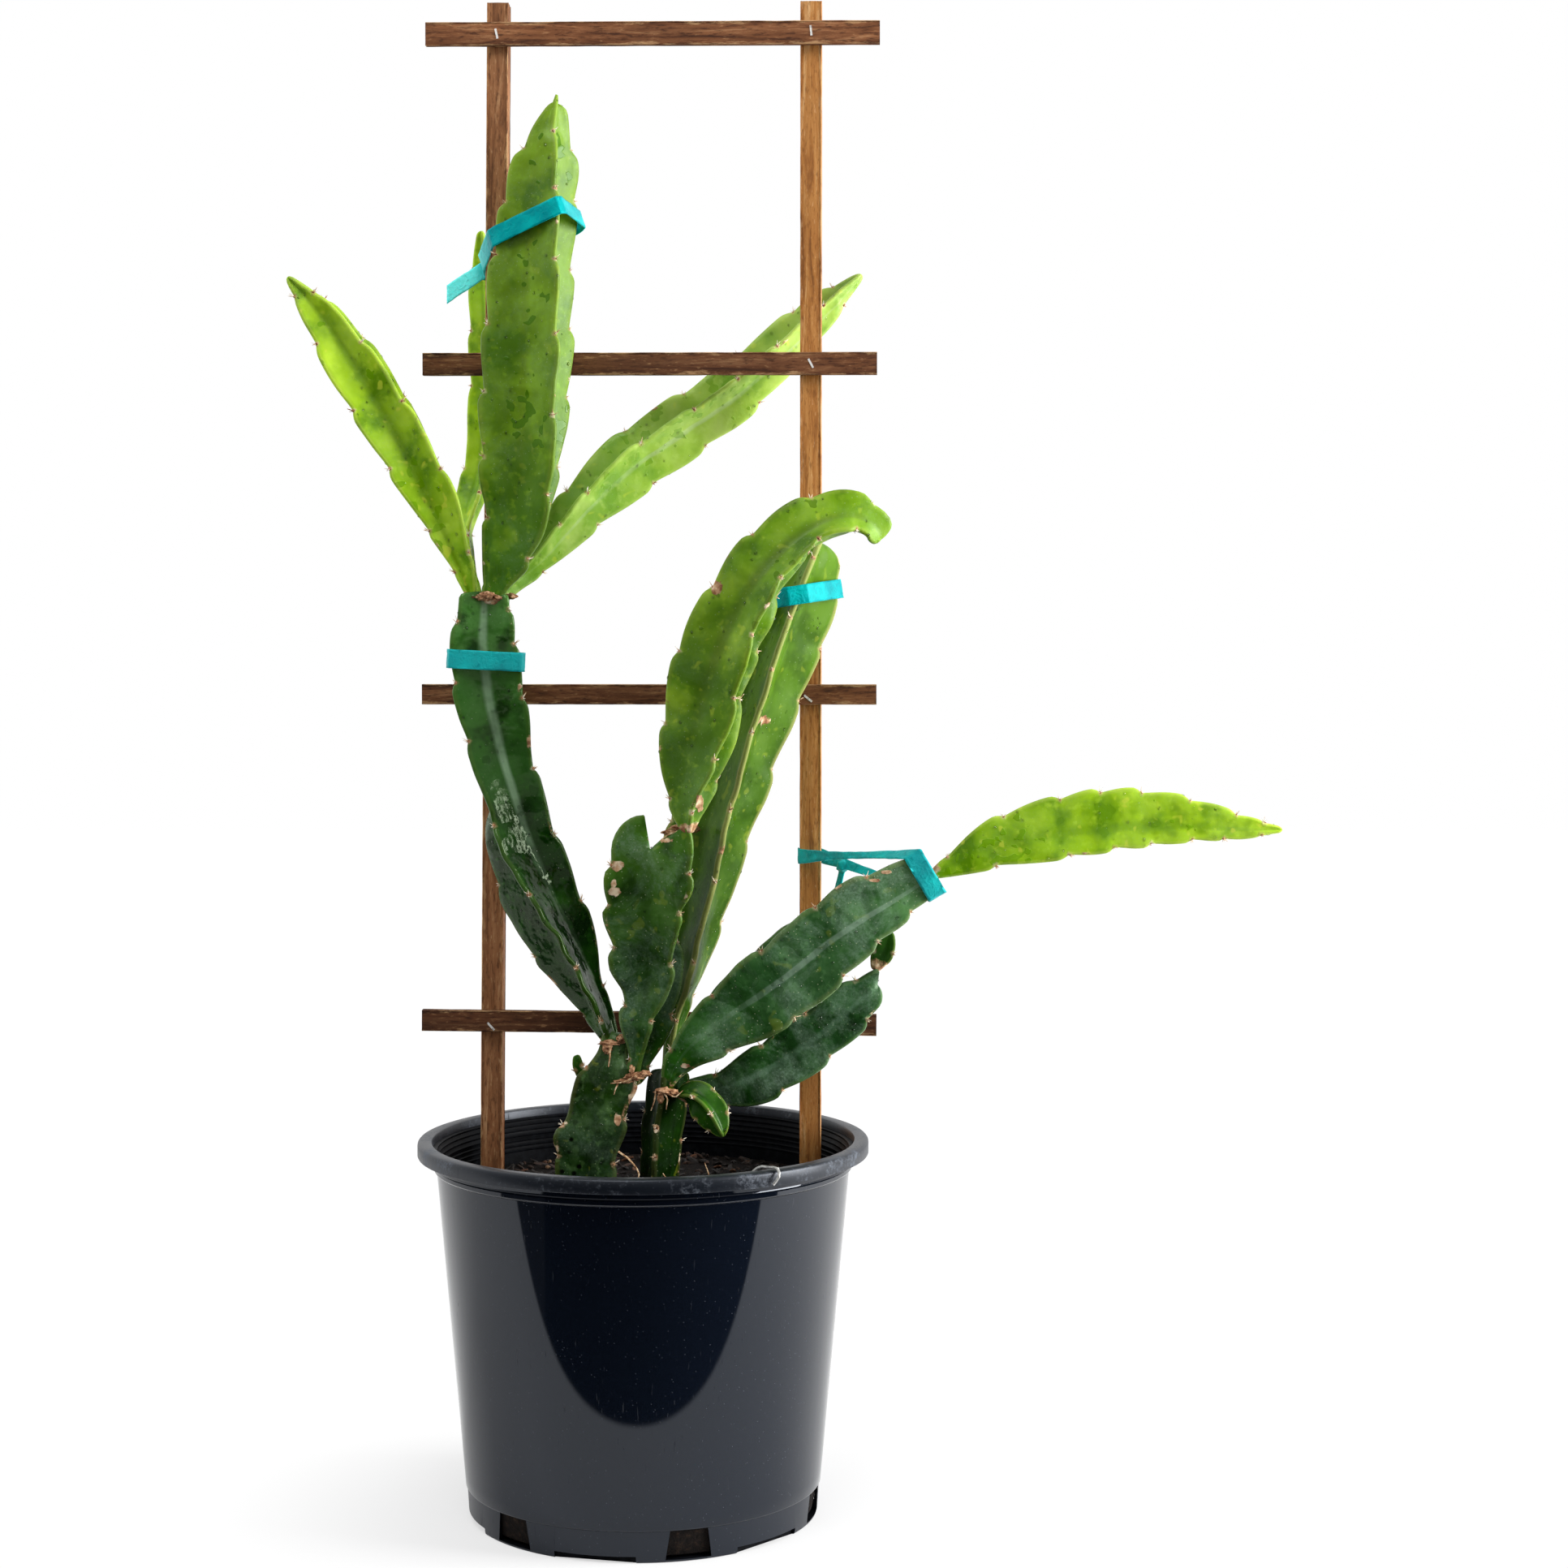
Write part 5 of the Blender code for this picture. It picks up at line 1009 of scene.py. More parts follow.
def cactus_skin(spec):
    """Living cactus skin: a waxy, mottled green cuticle, wet in patches, with corky scars and margins.

    A pale waxy veil on it is partly painted sheen, and its valleys carry painted light and shade.
    """
    look = LOOKS[spec["look"]]
    made, tree, shader = new_material(
        "cactus_skin_" + spec["name"], IOR=1.45, Specular_IOR_Level=look["shine"],
        Specular_Tint=(0.66, 0.82, 0.54, 1.0), Subsurface_Weight=look["glow"], Subsurface_Scale=0.004,
        Subsurface_Radius=(0.6, 1.0, 0.1))
    place = add(tree, "TexCoord", output="Object")
    margin, share, foot, areole = [add(tree, "Attribute", output="Fac", attribute_name=name)
                                   for name in SKIN_ATTRIBUTES]
    seen = {name: add(tree, "TexNoise", {"Vector": place, "Scale": scale, "Detail": detail,
                                         "Roughness": roughness, "Distortion": distortion})
            for name, (scale, detail, roughness, distortion) in SKIN_PATTERNS.items()}
    broad, fine = seen["broad"], seen["fine"]

    colour = add(tree, "ValToRGB", [share], [(0.0, look["foot"]), (0.45, look["base"]), (1.0, look["tip"])])
    colour = layer(tree, colour, look["dark"], broad, 0.50, 0.36, 0.75)
    colour = layer(tree, colour, look["light"], broad, 0.52, 0.70, 0.75)
    colour = layer(tree, colour, look["light"], fine, 0.56, 0.72, 0.45)
    # Painted highlight along each face's valley where the crease colour is pale, painted shade where it is
    # dark.
    colour = layer(tree, colour, look["crease"], painted_valley_light_and_shade(tree, look, margin, share, broad))
    colour = layer(tree, colour, "#C6D23E", seen["spots"], 0.66, 0.72, look["yellow"])
    # A pale grey-green veil: partly wax, and on the stems where it is laid on heavily, partly painted sheen.
    wax_and_sheen = add(tree, "MapRange", [seen["wax_and_sheen"], 0.44, 0.62, 0.0, look["bloom"]])
    wax_and_sheen = mask_with(tree, wax_and_sheen, "MULTIPLY", seen["dust"], 0.42, 0.60, 0.45)
    colour = layer(tree, colour, "#8CA890", wax_and_sheen)
    specks = add(tree, "TexVoronoi", {"Vector": place, "Scale": SPECK_SCALE}, output="Distance")
    colour = layer(tree, colour, "#B4C49A", specks, 0.16, 0.08, look["speckle"])

    wet = add(tree, "Math", [seen["puddles"], seen["drops"]], operation="ADD")
    wet = add(tree, "MapRange", [wet, 1.20, 1.215, 0.0, look["wet"]])
    colour = layer(tree, colour, look["wet_colour"], wet)
    cells = add(tree, "TexVoronoi", {"Vector": place, "Scale": PIT_SCALE}, output="Distance")
    pits = add(tree, "MapRange", [cells, 0.30, 0.16, 0.0, 1.0])
    pits = mask_with(tree, pits, "MULTIPLY", foot, 44.0, 30.0)
    pits = mask_with(tree, pits, "MULTIPLY", broad, 0.40, 0.46, 0.0, look["pits"])
    colour = layer(tree, colour, "#050A04", pits)

    colour = layer(tree, colour, look["margin"], margin, 0.93, 1.0, look["rim"])
    bark = skin_cork(tree, spec, look, seen, place, margin, foot, areole)
    bark_colour = add(tree, "ValToRGB", [fine], [(0.35, "#85593F"), (0.50, "#BF9874"), (0.64, "#E8D4B6")])
    colour = layer(tree, colour, bark_colour, bark)

    rough = add(tree, "MapRange", [broad, 0.3, 0.7, look["gloss"] - 0.05, look["gloss"] + 0.08])
    rough = add(tree, "Mix", {0: wet, 2: rough, 3: 0.10}, data_type="FLOAT")
    rough = add(tree, "Mix", {0: bark, 2: rough, 3: 0.85}, data_type="FLOAT")
    relief = {}
    for height, strength, distance in ((seen["ripple"], look["ripple"], 0.0016), (wet, 0.5, 0.0004),
                                       (bark, 0.6, 0.0006), (seen["pores"], 0.12, 0.0003)):
        relief["Normal"] = add(tree, "Bump", {"Strength": strength, "Distance": distance, "Height": height,
                                              **relief})
    feed(tree, shader, {"Base Color": colour, "Roughness": rough, **relief})
    return made


def felt_material():
    """Areole felt: short matted brown wool, matte, with paler tufts drawn 1.5 mm wide so that they show."""
    return grained("areole_felt", 700.0, 3.0, [(0.35, "#5A3624"), (0.52, "#A0704E"), (0.70, "#D8B48C")],
                   Roughness=0.95, Specular_IOR_Level=0.2)


def spine_material():
    """Cactus spines: hard horn, cream with tan stretches, faintly shiny."""
    return grained("spine_horn", 260.0, 1.0, [(0.30, "#9A6E48"), (0.42, "#E0BE94"), (0.56, "#F8EFDC")],
                   Roughness=0.5)


def water():
    """Water beads: clear and smooth, seen as small glints with the skin's green through them."""
    made, tree, shader = new_material("water_beads", Roughness=0.03, IOR=1.333, Transmission_Weight=1.0)
    place = add(tree, "TexCoord", output="Object")
    ripple = add(tree, "TexNoise", {"Vector": place, "Scale": 300.0})
    bump = add(tree, "Bump", {"Strength": 0.1, "Distance": 0.0002, "Height": ripple})
    feed(tree, shader, {"Normal": bump})
    return made


def knot_material():
    """Old cactus joint: dead, dry, corky wood with torn fibres, tan on brown."""
    return grained("corky_joint_wood", 330.0, 5.0, [(0.32, "#5E3A26"), (0.48, "#9C7050"), (0.66, "#D2A884")],
                   coarse=0.65, relief=(0.8, 0.001), Roughness=0.9, Specular_IOR_Level=0.2)


def build_knots():
    """Corky collars where one season's growth joins the last."""
    cork = knot_material()
    for name, lumps in KNOTS.items():
        bm = bmesh.new()
        for k, (centre, half) in enumerate(lumps):
            made = bmesh.ops.create_icosphere(bm, subdivisions=3, radius=1.0)
            for vert in made["verts"]:
                rough = noise.fractal(vert.co * KNOT_FINENESS + Vector((k * 5.0, 1.0, 2.0)), 0.7, 2.0, 4)
                shaped = vert.co * (1.0 + KNOT_ROUGHNESS * rough)
                place = Vector([c + h * v for c, h, v in zip(centre, half, shaped)])
                vert.co = place * MM
        knot = new_piece(name, bm, [cork], 60.0)
        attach(knot, "root")


def root_material():
    """Dry root fibres: papery, pale tan on brown, matte."""
    return grained("dry_root_fibre", 420.0, 3.0, [(0.34, "#6A4630"), (0.50, "#B8926C"), (0.66, "#E2CBA8")],
                   Roughness=0.85, Specular_IOR_Level=0.2)


def build_roots():
    """Dry root fibres that stand out of the soil, as thin tapering tubes in one piece."""
    bm = bmesh.new()
    for thickness, path in ROOTS:
        dense, run = spline(path)
        before = None
        for share in np.linspace(0.0, 1.0, ROOT_RINGS):
            centre, along, side, front = axes_at(dense, run, share * run[-1])
            radius = thickness * (1.0 - 0.6 * float(share))
            ring = []
            for k in range(ROOT_SIDES):
                angle = math.tau * k / ROOT_SIDES
                place = centre + radius * (math.cos(angle) * side + math.sin(angle) * front)
                ring.append(bm.verts.new(place * MM))
            if before:
                join_rings(bm, before, ring)
            else:
                bm.faces.new(ring[::-1])
            before = ring
        bm.faces.new(before)
    bmesh.ops.recalc_face_normals(bm, faces=bm.faces)
    roots = new_piece("root_fibres", bm, [root_material()], 60.0)
    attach(roots, "root")


def build_plant():
    felt, spine, wet = felt_material(), spine_material(), water()
    areoles, droplets = areole_tree(), droplet_tree()
    for seed, spec in enumerate(STEMS):
        stem_piece = build_stem(spec, seed, cactus_skin(spec))
        build_areoles(spec, areoles, seed, felt, spine)
        build_droplets(stem_piece, droplets, seed, wet)
    build_knots()
    build_roots()


# Pot, soil and rim wire

def inner_plastic():
    """The pot's inside: the same black polypropylene, left matte by the mould and dulled by peat dust."""
    return grained("matte_black_polypropylene", 240.0, 5.0, [(0.45, "#06070A"), (0.72, "#101216")],
                   rough=(0.3, 0.6), Specular_IOR_Level=0.05)


def pot_plastic():
    """Injection-moulded polypropylene, black: smooth and glossy, finely scratched, dusty on the rim.

    The upright scratches are 1 mm apart and 45 mm long. Real ones are finer, and wouldn't show.
    """
    made, tree, shader = new_material("moulded_black_polypropylene", IOR=1.49, Specular_IOR_Level=0.48,
                                      Specular_Tint=(0.86, 0.91, 1.0, 1.0))
    place = add(tree, "TexCoord", output="Object")
    height = add(tree, "SeparateXYZ", [place], output="Z")
    grit, smears, ripple = [
        add(tree, "TexNoise", {"Vector": place, "Scale": scale, "Detail": detail, "Roughness": roughness})
        for scale, detail, roughness in ((420.0, 4.0, 0.7), (45.0, 5.0, 0.6), (9.0, 1.0, 0.5))]
    rim_from, rim_to = (POT_HEIGHT - 10.5) * MM, (POT_HEIGHT - 9.5) * MM
    scuff = add(tree, "Math", [grit, smears], operation="MULTIPLY")
    scuff = add(tree, "MapRange", [scuff, 0.27, 0.42, 0.0, 0.3])
    scuff = mask_with(tree, scuff, "MULTIPLY", height, rim_from, rim_to)
    specks = add(tree, "TexVoronoi", {"Vector": place, "Scale": SPECK_SCALE}, output="Distance")
    dust = mask_with(tree, scuff, "MAXIMUM", specks, 0.10, 0.04, 0.0, 0.25)
    body = layer(tree, srgb("#0A0F18"), "#0A0F17", height, rim_from, rim_to)
    colour = layer(tree, body, "#8C94A0", dust)
    scratches = streaked(tree, place, (900.0, 900.0, 22.0), turn=(0.0, 0.6, 0.3))
    ledge_from, ledge_to = (LEDGE_HEIGHT - 0.5) * MM, (LEDGE_HEIGHT + 0.5) * MM
    rough = add(tree, "MapRange", [height, ledge_from, ledge_to, 0.30, 0.045])
    rough = add(tree, "Math", [rough, dust], operation="ADD")
    rough = mask_with(tree, rough, "ADD", scratches, 0.68, 0.76, 0.0, 0.35)
    rough = mask_with(tree, rough, "ADD", height, rim_from, rim_to, 0.0, 0.32)
    bump = add(tree, "Bump", {"Strength": 0.05, "Distance": 0.002, "Height": ripple})
    feed(tree, shader, {"Base Color": colour, "Roughness": rough, "Normal": bump})
    return made


def pot_inner_radius(height):
    levels = [POT_FLOOR, LEDGE_HEIGHT, RIDGE_HEIGHT - RIDGE_FOOT]
    return float(np.interp(height, levels, [radius - POT_WALL for radius in
                                            (FOOT_RADIUS, LEDGE_RADIUS, SHOULDER_RADIUS)]))


def lathe(outline, segments):
    """A closed solid of revolution from an outline with both ends on the axis."""
    bm = bmesh.new()
    rings = []
    for radius, height in outline:
        ring = []
        for k in range(segments if radius else 1):
            angle = math.tau * k / segments
            place = Vector((radius * math.cos(angle), radius * math.sin(angle), height))
            ring.append(bm.verts.new(place * MM))
        rings.append(ring)
    for here, following in zip(rings, rings[1:]):
        join_rings(bm, here, following)
    bmesh.ops.recalc_face_normals(bm, faces=bm.faces)
    return bm


def around(radius, height, *steps):
    """Points of an outline at small steps outward and upward from one place."""
    return [(radius + out, height + up) for out, up in steps]


def pot_outline():
    """The pot's section, from its floor up the inside, over the rolled lip and down the outside."""
    skirt = POT_HEIGHT - RIM_SKIRT_HEIGHT
    slope = (SHOULDER_RADIUS - LEDGE_RADIUS) / (RIDGE_HEIGHT - 3.0 - LEDGE_HEIGHT)
    inside = [(0.0, POT_FLOOR), *around(FOOT_RADIUS - POT_WALL, POT_FLOOR, (-1.0, 0.0), (0.0, 1.0)),
              (LEDGE_RADIUS - POT_WALL, LEDGE_HEIGHT),
              (pot_inner_radius(RIDGE_HEIGHT - 20), RIDGE_HEIGHT - 20)]
    for k in range(INNER_RINGS):
        level = RIDGE_HEIGHT - 10.0 + k * INNER_RING_PITCH
        radius = pot_inner_radius(level) + max(0.0, level - RIDGE_HEIGHT) * 0.24
        inside += around(radius, level, (0.0, 0.0), (-INNER_RING_DEPTH, 0.6), (-INNER_RING_DEPTH, 1.2),
                         (0.1, 1.8))
    inside += around(RIM_INNER_RADIUS, POT_HEIGHT, (-0.3, -5.0), (0.0, -1.2), (0.4, -0.4), (1.2, 0.0))
    lip = around(RIM_RADIUS, POT_HEIGHT, (-2.0, -0.1), (-0.8, -0.5), (-0.2, -1.2), (0.0, -2.2))
    lip += around(RIM_RADIUS, skirt, (0.0, 0.8), (-0.3, 0.2), (-1.0, 0.0), (-1.8, 0.3), (-2.0, 1.0))
    lip += [(RIM_RADIUS - 2.0, POT_HEIGHT - 2.2)]
    lip += around(RIM_INNER_RADIUS + POT_WALL, POT_HEIGHT, (0.0, -2.2), (0.0, -6.0))
    outside = around(SHOULDER_RADIUS, RIDGE_HEIGHT, (slope + 1.0, 3.4), (1.2, 2.0), (1.8, 1.2), (1.8, -1.0),
                     (1.2, -1.8), (0.1, -2.4), (-1.0, -14.0))
    outside += around(LEDGE_RADIUS, LEDGE_HEIGHT, (0.6, 8.0), (0.0, 1.0), (-0.4, 0.2), (-1.0, -0.3))
    outside += around(FOOT_RADIUS, 0.0, (0.1, 2.0), (-0.3, 0.6), (-1.2, 0.0))
    return inside + lip + outside + [(0.0, 0.0)]


def cutter(name, corners, deep, angle):
    """A block that stands out from the axis at an angle, from an outline across it and in height."""
    bm = bmesh.new()
    near, far = [[bm.verts.new((x * MM, y * MM, z * MM)) for y, z in corners] for x in deep]
    bm.faces.new(near)
    bm.faces.new(far)
    join_rings(bm, near, far)
    bmesh.ops.recalc_face_normals(bm, faces=bm.faces)
    block = new_piece(name, bm, [])
    block.data.transform(Matrix.Rotation(angle, 4, "Z"))
    return block


def build_pot():
    pot = new_piece("moulded_pot", lathe(pot_outline(), POT_SEGMENTS),
                    [pot_plastic(), inner_plastic()], 35.0)
    low, high, half = DRAIN_WIDTH_LOW / 2, DRAIN_WIDTH_HIGH / 2, SLIT_WIDTH / 2
    hole = [(-low, DRAIN_FROM), (low, DRAIN_FROM), (high, LEDGE_HEIGHT), (-high, LEDGE_HEIGHT)]
    slit = [(-half, -1.0), (half, -1.0), (half, SLIT_HEIGHT), (-half, SLIT_HEIGHT)]
    cutters = []
    for k in range(DRAIN_HOLES):
        angle = math.radians(DRAIN_FIRST_ANGLE + k * 360.0 / DRAIN_HOLES - 90.0)
        cutters.append(cutter("drain_hole", hole, (LEDGE_RADIUS - 12.0, LEDGE_RADIUS + 12.0), angle))
        cutters.append(cutter("foot_slit", slit, (SLIT_INNER_RADIUS, FOOT_RADIUS + 6.0),
                              angle + math.pi / DRAIN_HOLES))
    for block in cutters:
        cut = pot.modifiers.new(block.name, "BOOLEAN")
        cut.object = block
        cut.solver = "EXACT"
    plain_mesh(pot)
    for block in cutters:
        bpy.data.objects.remove(block)
    pot.data.shade_smooth()
    pot.data.set_sharp_from_angle(angle=math.radians(35.0))
    for face in pot.data.polygons:
        x, y, z = face.center / MM
        reach = pot_inner_radius(z) + 0.6 + max(0.0, z - RIDGE_HEIGHT) * 0.4
        if z < POT_HEIGHT - 4.0 and math.hypot(x, y) < reach:
            face.material_index = 1
    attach(pot, "root")
    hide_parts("pot")


def potting_mix():
    """Moist peat and composted bark: nearly black, crumbly and matte, with a few paler grains."""
    return grained("moist_peat_and_bark", 260.0, 6.0,
                   [(0.35, "#070504"), (0.55, "#16100D"), (0.70, "#2E2219"), (0.80, "#6A5340")],
                   coarse=0.7, relief=(0.8, 0.003), Roughness=0.92, Specular_IOR_Level=0.15)


def chip_material():
    """Pine bark chips and fibres: split, dry and matte, from near black to orange-brown."""
    made, tree, shader = new_material("pine_bark_chips", Roughness=0.85)
    tint = add(tree, "Attribute", output="Fac", attribute_name="tint")
    colour = add(tree, "ValToRGB", [tint], [(0.0, "#0C0807"), (0.55, "#20140E"), (0.82, "#4A2C1A"),
                                            (0.95, "#8A5430"), (1.0, "#D0B48E")])
    place = add(tree, "TexCoord", output="Object")
    fibres = add(tree, "TexNoise", {"Vector": place, "Scale": 600.0, "Detail": 4.0})
    feed(tree, shader, {"Base Color": layer(tree, colour, "#0E0906", fibres)})
    return made


def chip_tree():
    """Bark chips scattered on a surface, turned and sized at random."""
    tree, given, result = node_group("bark_chips", {
        "Density": "Float", "Chip Size": "Float", "Seed": "Int", "Chip": "Material"})
    seed = given["Seed"]
    points = add(tree, "DistributePointsOnFaces", {
        "Mesh": given["Geometry"], "Density": given["Density"], "Seed": seed})
    block = add(tree, "MeshIcoSphere", {"Radius": given["Chip Size"], "Subdivisions": 1})
    turn = add(tree, "FunctionNodeRandomValue", {0: (-0.5, -0.5, 0.0), 1: (0.5, 0.5, 6.28), "Seed": seed},
               data_type="FLOAT_VECTOR")
    size = add(tree, "FunctionNodeRandomValue", {0: (0.4, 0.2, 0.12), 1: (1.7, 0.6, 0.4), "Seed": seed},
               data_type="FLOAT_VECTOR")
    chips = add(tree, "InstanceOnPoints", {"Points": points, "Instance": block, "Rotation": turn,
                                           "Scale": size})
    tint = add(tree, "FunctionNodeRandomValue", {2: 0.0, 3: 1.0, "Seed": seed}, data_type="FLOAT")
    tinted = add(tree, "StoreNamedAttribute", {"Geometry": chips, "Name": "tint", "Value": tint},
                 data_type="FLOAT", domain="INSTANCE")
    real = add(tree, "RealizeInstances", [tinted])
    feed(tree, result, [add(tree, "SetMaterial", {0: real, "Material": given["Chip"]})])
    return tree


def build_soil():
    edge, low_edge, floor_edge, foot_edge = [pot_inner_radius(level) - SOIL_CLEARANCE for level in
                                             (SOIL_TOP, LEDGE_HEIGHT, POT_FLOOR + 1.4, POT_FLOOR)]
    floor = POT_FLOOR + SOIL_FLOOR_GAP
    outline = [(0.0, SOIL_TOP)]
    outline += [(radius, SOIL_TOP) for radius in np.linspace(3.0, edge - 3.0, SOIL_RINGS)]
    outline += [(edge, SOIL_TOP - 2.0), (low_edge - 0.2, LEDGE_HEIGHT), (floor_edge - 0.6, POT_FLOOR + 1.4),
                (foot_edge - 2.2, floor), (0.0, floor)]
    bm = lathe(outline, SOIL_SEGMENTS)
    for vert in bm.verts:
        x, y, z = vert.co / MM
        if z > SOIL_TOP - 1.0:
            rough = noise.fractal(Vector((x, y, 3.0)) / 9.0, 0.8, 2.0, 4)
            vert.co.z += (1.4 * rough - 0.8 - 1.2 * (math.hypot(x, y) / edge) ** 4) * MM
    soil = new_piece("potting_mix_surface", bm, [potting_mix()], 60.0)
    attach(soil, "root")
    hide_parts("soil")
    bm = bmesh.new()
    bmesh.ops.create_circle(bm, cap_ends=True, segments=48, radius=(edge - 5.0) * MM)
    bmesh.ops.translate(bm, verts=bm.verts, vec=(0.0, 0.0, (SOIL_TOP - 0.6) * MM))
    chips = new_piece("bark_chips", bm, [])
    grow(chips, chip_tree(), {"Density": CHIP_DENSITY, "Chip Size": CHIP_SIZE, "Seed": 4,
                              "Chip": chip_material()})
    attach(chips, "root")


def galvanised_wire():
    """Galvanised steel wire: dull grey zinc, slightly blotched."""
    return grained("galvanised_wire", 600.0, 4.0, [(0.35, "#8C8C8A"), (0.65, "#C8C8C4")],
                   rough=(0.35, 0.65), Metallic=0.4)


# Trellis

def sawn_wood(name, dark, base, light, pale):
    """Rough-sawn pine with a brushed-on stain: soft streaks and dark flecks along the grain, and pale
    edges that are partly wear and partly painted rim light.

    The streaks are 2 to 5 mm wide and 40 to 100 mm long, and the flecks 1 mm by 4 mm.
    """
    made, tree, shader = new_material(name, Specular_IOR_Level=0.25)
    place = add(tree, "Attribute", output="Vector", attribute_name="wood_place")
    edge, tone = [add(tree, "Attribute", output="Fac", attribute_name=read) for read in ("edge", "tone")]
    streaks = streaked(tree, place, (14.0, 190.0, 190.0), 7.0, 0.68, 0.8)
    board = streaked(tree, place, (7.0, 70.0, 70.0), 3.0)
    flecks = streaked(tree, place, (150.0, 620.0, 620.0), 4.0, 0.6)
    worn = streaked(tree, place, (60.0, 260.0, 260.0), 5.0, 0.7)
    colour = add(tree, "ValToRGB", [streaks], [(0.32, dark), (0.45, base), (0.56, light), (0.70, pale)])
    stain = add(tree, "Math", [board, tone], operation="ADD")
    colour = layer(tree, colour, dark, stain, 0.55, 1.25, 0.85)
    colour = layer(tree, colour, dark, flecks, 0.53, 0.66, 0.7)
    colour = layer(tree, colour, pale, flecks, 0.40, 0.28, 0.5)
    # Pale edges: partly wear, partly painted rim light of the bright background behind.
    worn = add(tree, "Math", [edge, worn], operation="MULTIPLY")
    colour = layer(tree, colour, "#D2A878", worn, 0.44, 0.56, 0.6)
    rough = add(tree, "MapRange", [streaks, 0.0, 1.0, 0.6, 0.9])
    grain = add(tree, "Bump", {"Strength": 0.35, "Distance": 0.0006, "Height": streaks})
    saw = add(tree, "Bump", {"Strength": 0.3, "Distance": 0.0004, "Height": flecks, "Normal": grain})
    feed(tree, shader, {"Base Color": colour, "Roughness": rough, "Normal": saw})
    return made


def plank_section(width, depth):
    """Corners and middles round a plank's section, and whether each point is on a bevelled corner."""
    near, far = (PLANK_BEVEL, 0.0), (0.0, PLANK_BEVEL)
    points = []
    for i, (y, z) in enumerate([(-1, -1), (0, -1), (1, -1), (1, 0), (1, 1), (0, 1), (-1, 1), (-1, 0)]):
        is_corner = i % 2 == 0
        bevels = [(0.0, 0.0)] if not is_corner else [far, near] if i in (2, 6) else [near, far]
        for back, down in bevels:
            points.append((y * (width / 2 - back), z * (depth / 2 - down), y < 0, is_corner))
    return points


def plank(name, length, width, depth, matrix, material, tone, point=0.0, worn_face=0.0):
    """A sawn strip of wood along its own X, with slightly uneven faces, and pale edges that are partly
    wear and partly painted rim light.

    point is the length of a cut point at its foot, or 0 for a square end. worn_face is how far the
    viewer's face lies back, so that a staple stands proud of it.
    """
    bm = bmesh.new()
    spot = bm.verts.layers.float_vector.new("wood_place")
    worn = bm.verts.layers.float.new("edge")
    stained = bm.verts.layers.float.new("tone")
    seed = sum(ord(letter) for letter in name)
    rings = []
    for x in np.linspace(-length / 2, length / 2, max(12, round(length / PLANK_STEP)) + 1):
        x = float(x)
        share = 1.0
        if point and x < point - length / 2:
            share = STAKE_POINT_WIDTH / width + (1 - STAKE_POINT_WIDTH / width) * (x + length / 2) / point
        ring = []
        for y, z, is_front, is_corner in plank_section(width, depth):
            y = y * share + (worn_face if is_front else 0.0)
            z = z * share
            rough = noise.noise(Vector((x / 16.0, y / 5.0 + seed, z / 5.0)))
            inward = 0.16 * (1.0 + rough) + (0.18 * abs(rough) if is_corner else 0.0)
            middle = Vector((0.0, y, z))
            middle -= inward * middle.normalized()
            vert = bm.verts.new((x * MM, middle.y * MM, middle.z * MM))
            vert[spot] = Vector((x + seed * 13.0, y + seed, z)) * MM
            # Corners are marked for the pale edge colour: partly wear, partly painted rim light.
            vert[worn] = 1.0 if is_corner else 0.25
            vert[stained] = tone
            ring.append(vert)
        rings.append(ring)
    for here, following in zip(rings, rings[1:]):
        join_rings(bm, here, following)
    bm.faces.new(rings[0][::-1])
    bm.faces.new(rings[-1])
    bmesh.ops.transform(bm, matrix=matrix, verts=bm.verts)
    bmesh.ops.recalc_face_normals(bm, faces=bm.faces)
    obj = new_piece(name + "_wood", bm, [material], 30.0)
    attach(obj, "root")
    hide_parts(name)


def staple_steel():
    """Staple wire: slender grey steel, dulled in places by the stain that ran over it."""
    return grained("dull_staple_wire", 500.0, 3.0, [(0.32, "#A8A29C"), (0.50, "#E4E2DE")],
                   rough=(0.3, 0.6), Metallic=0.2)


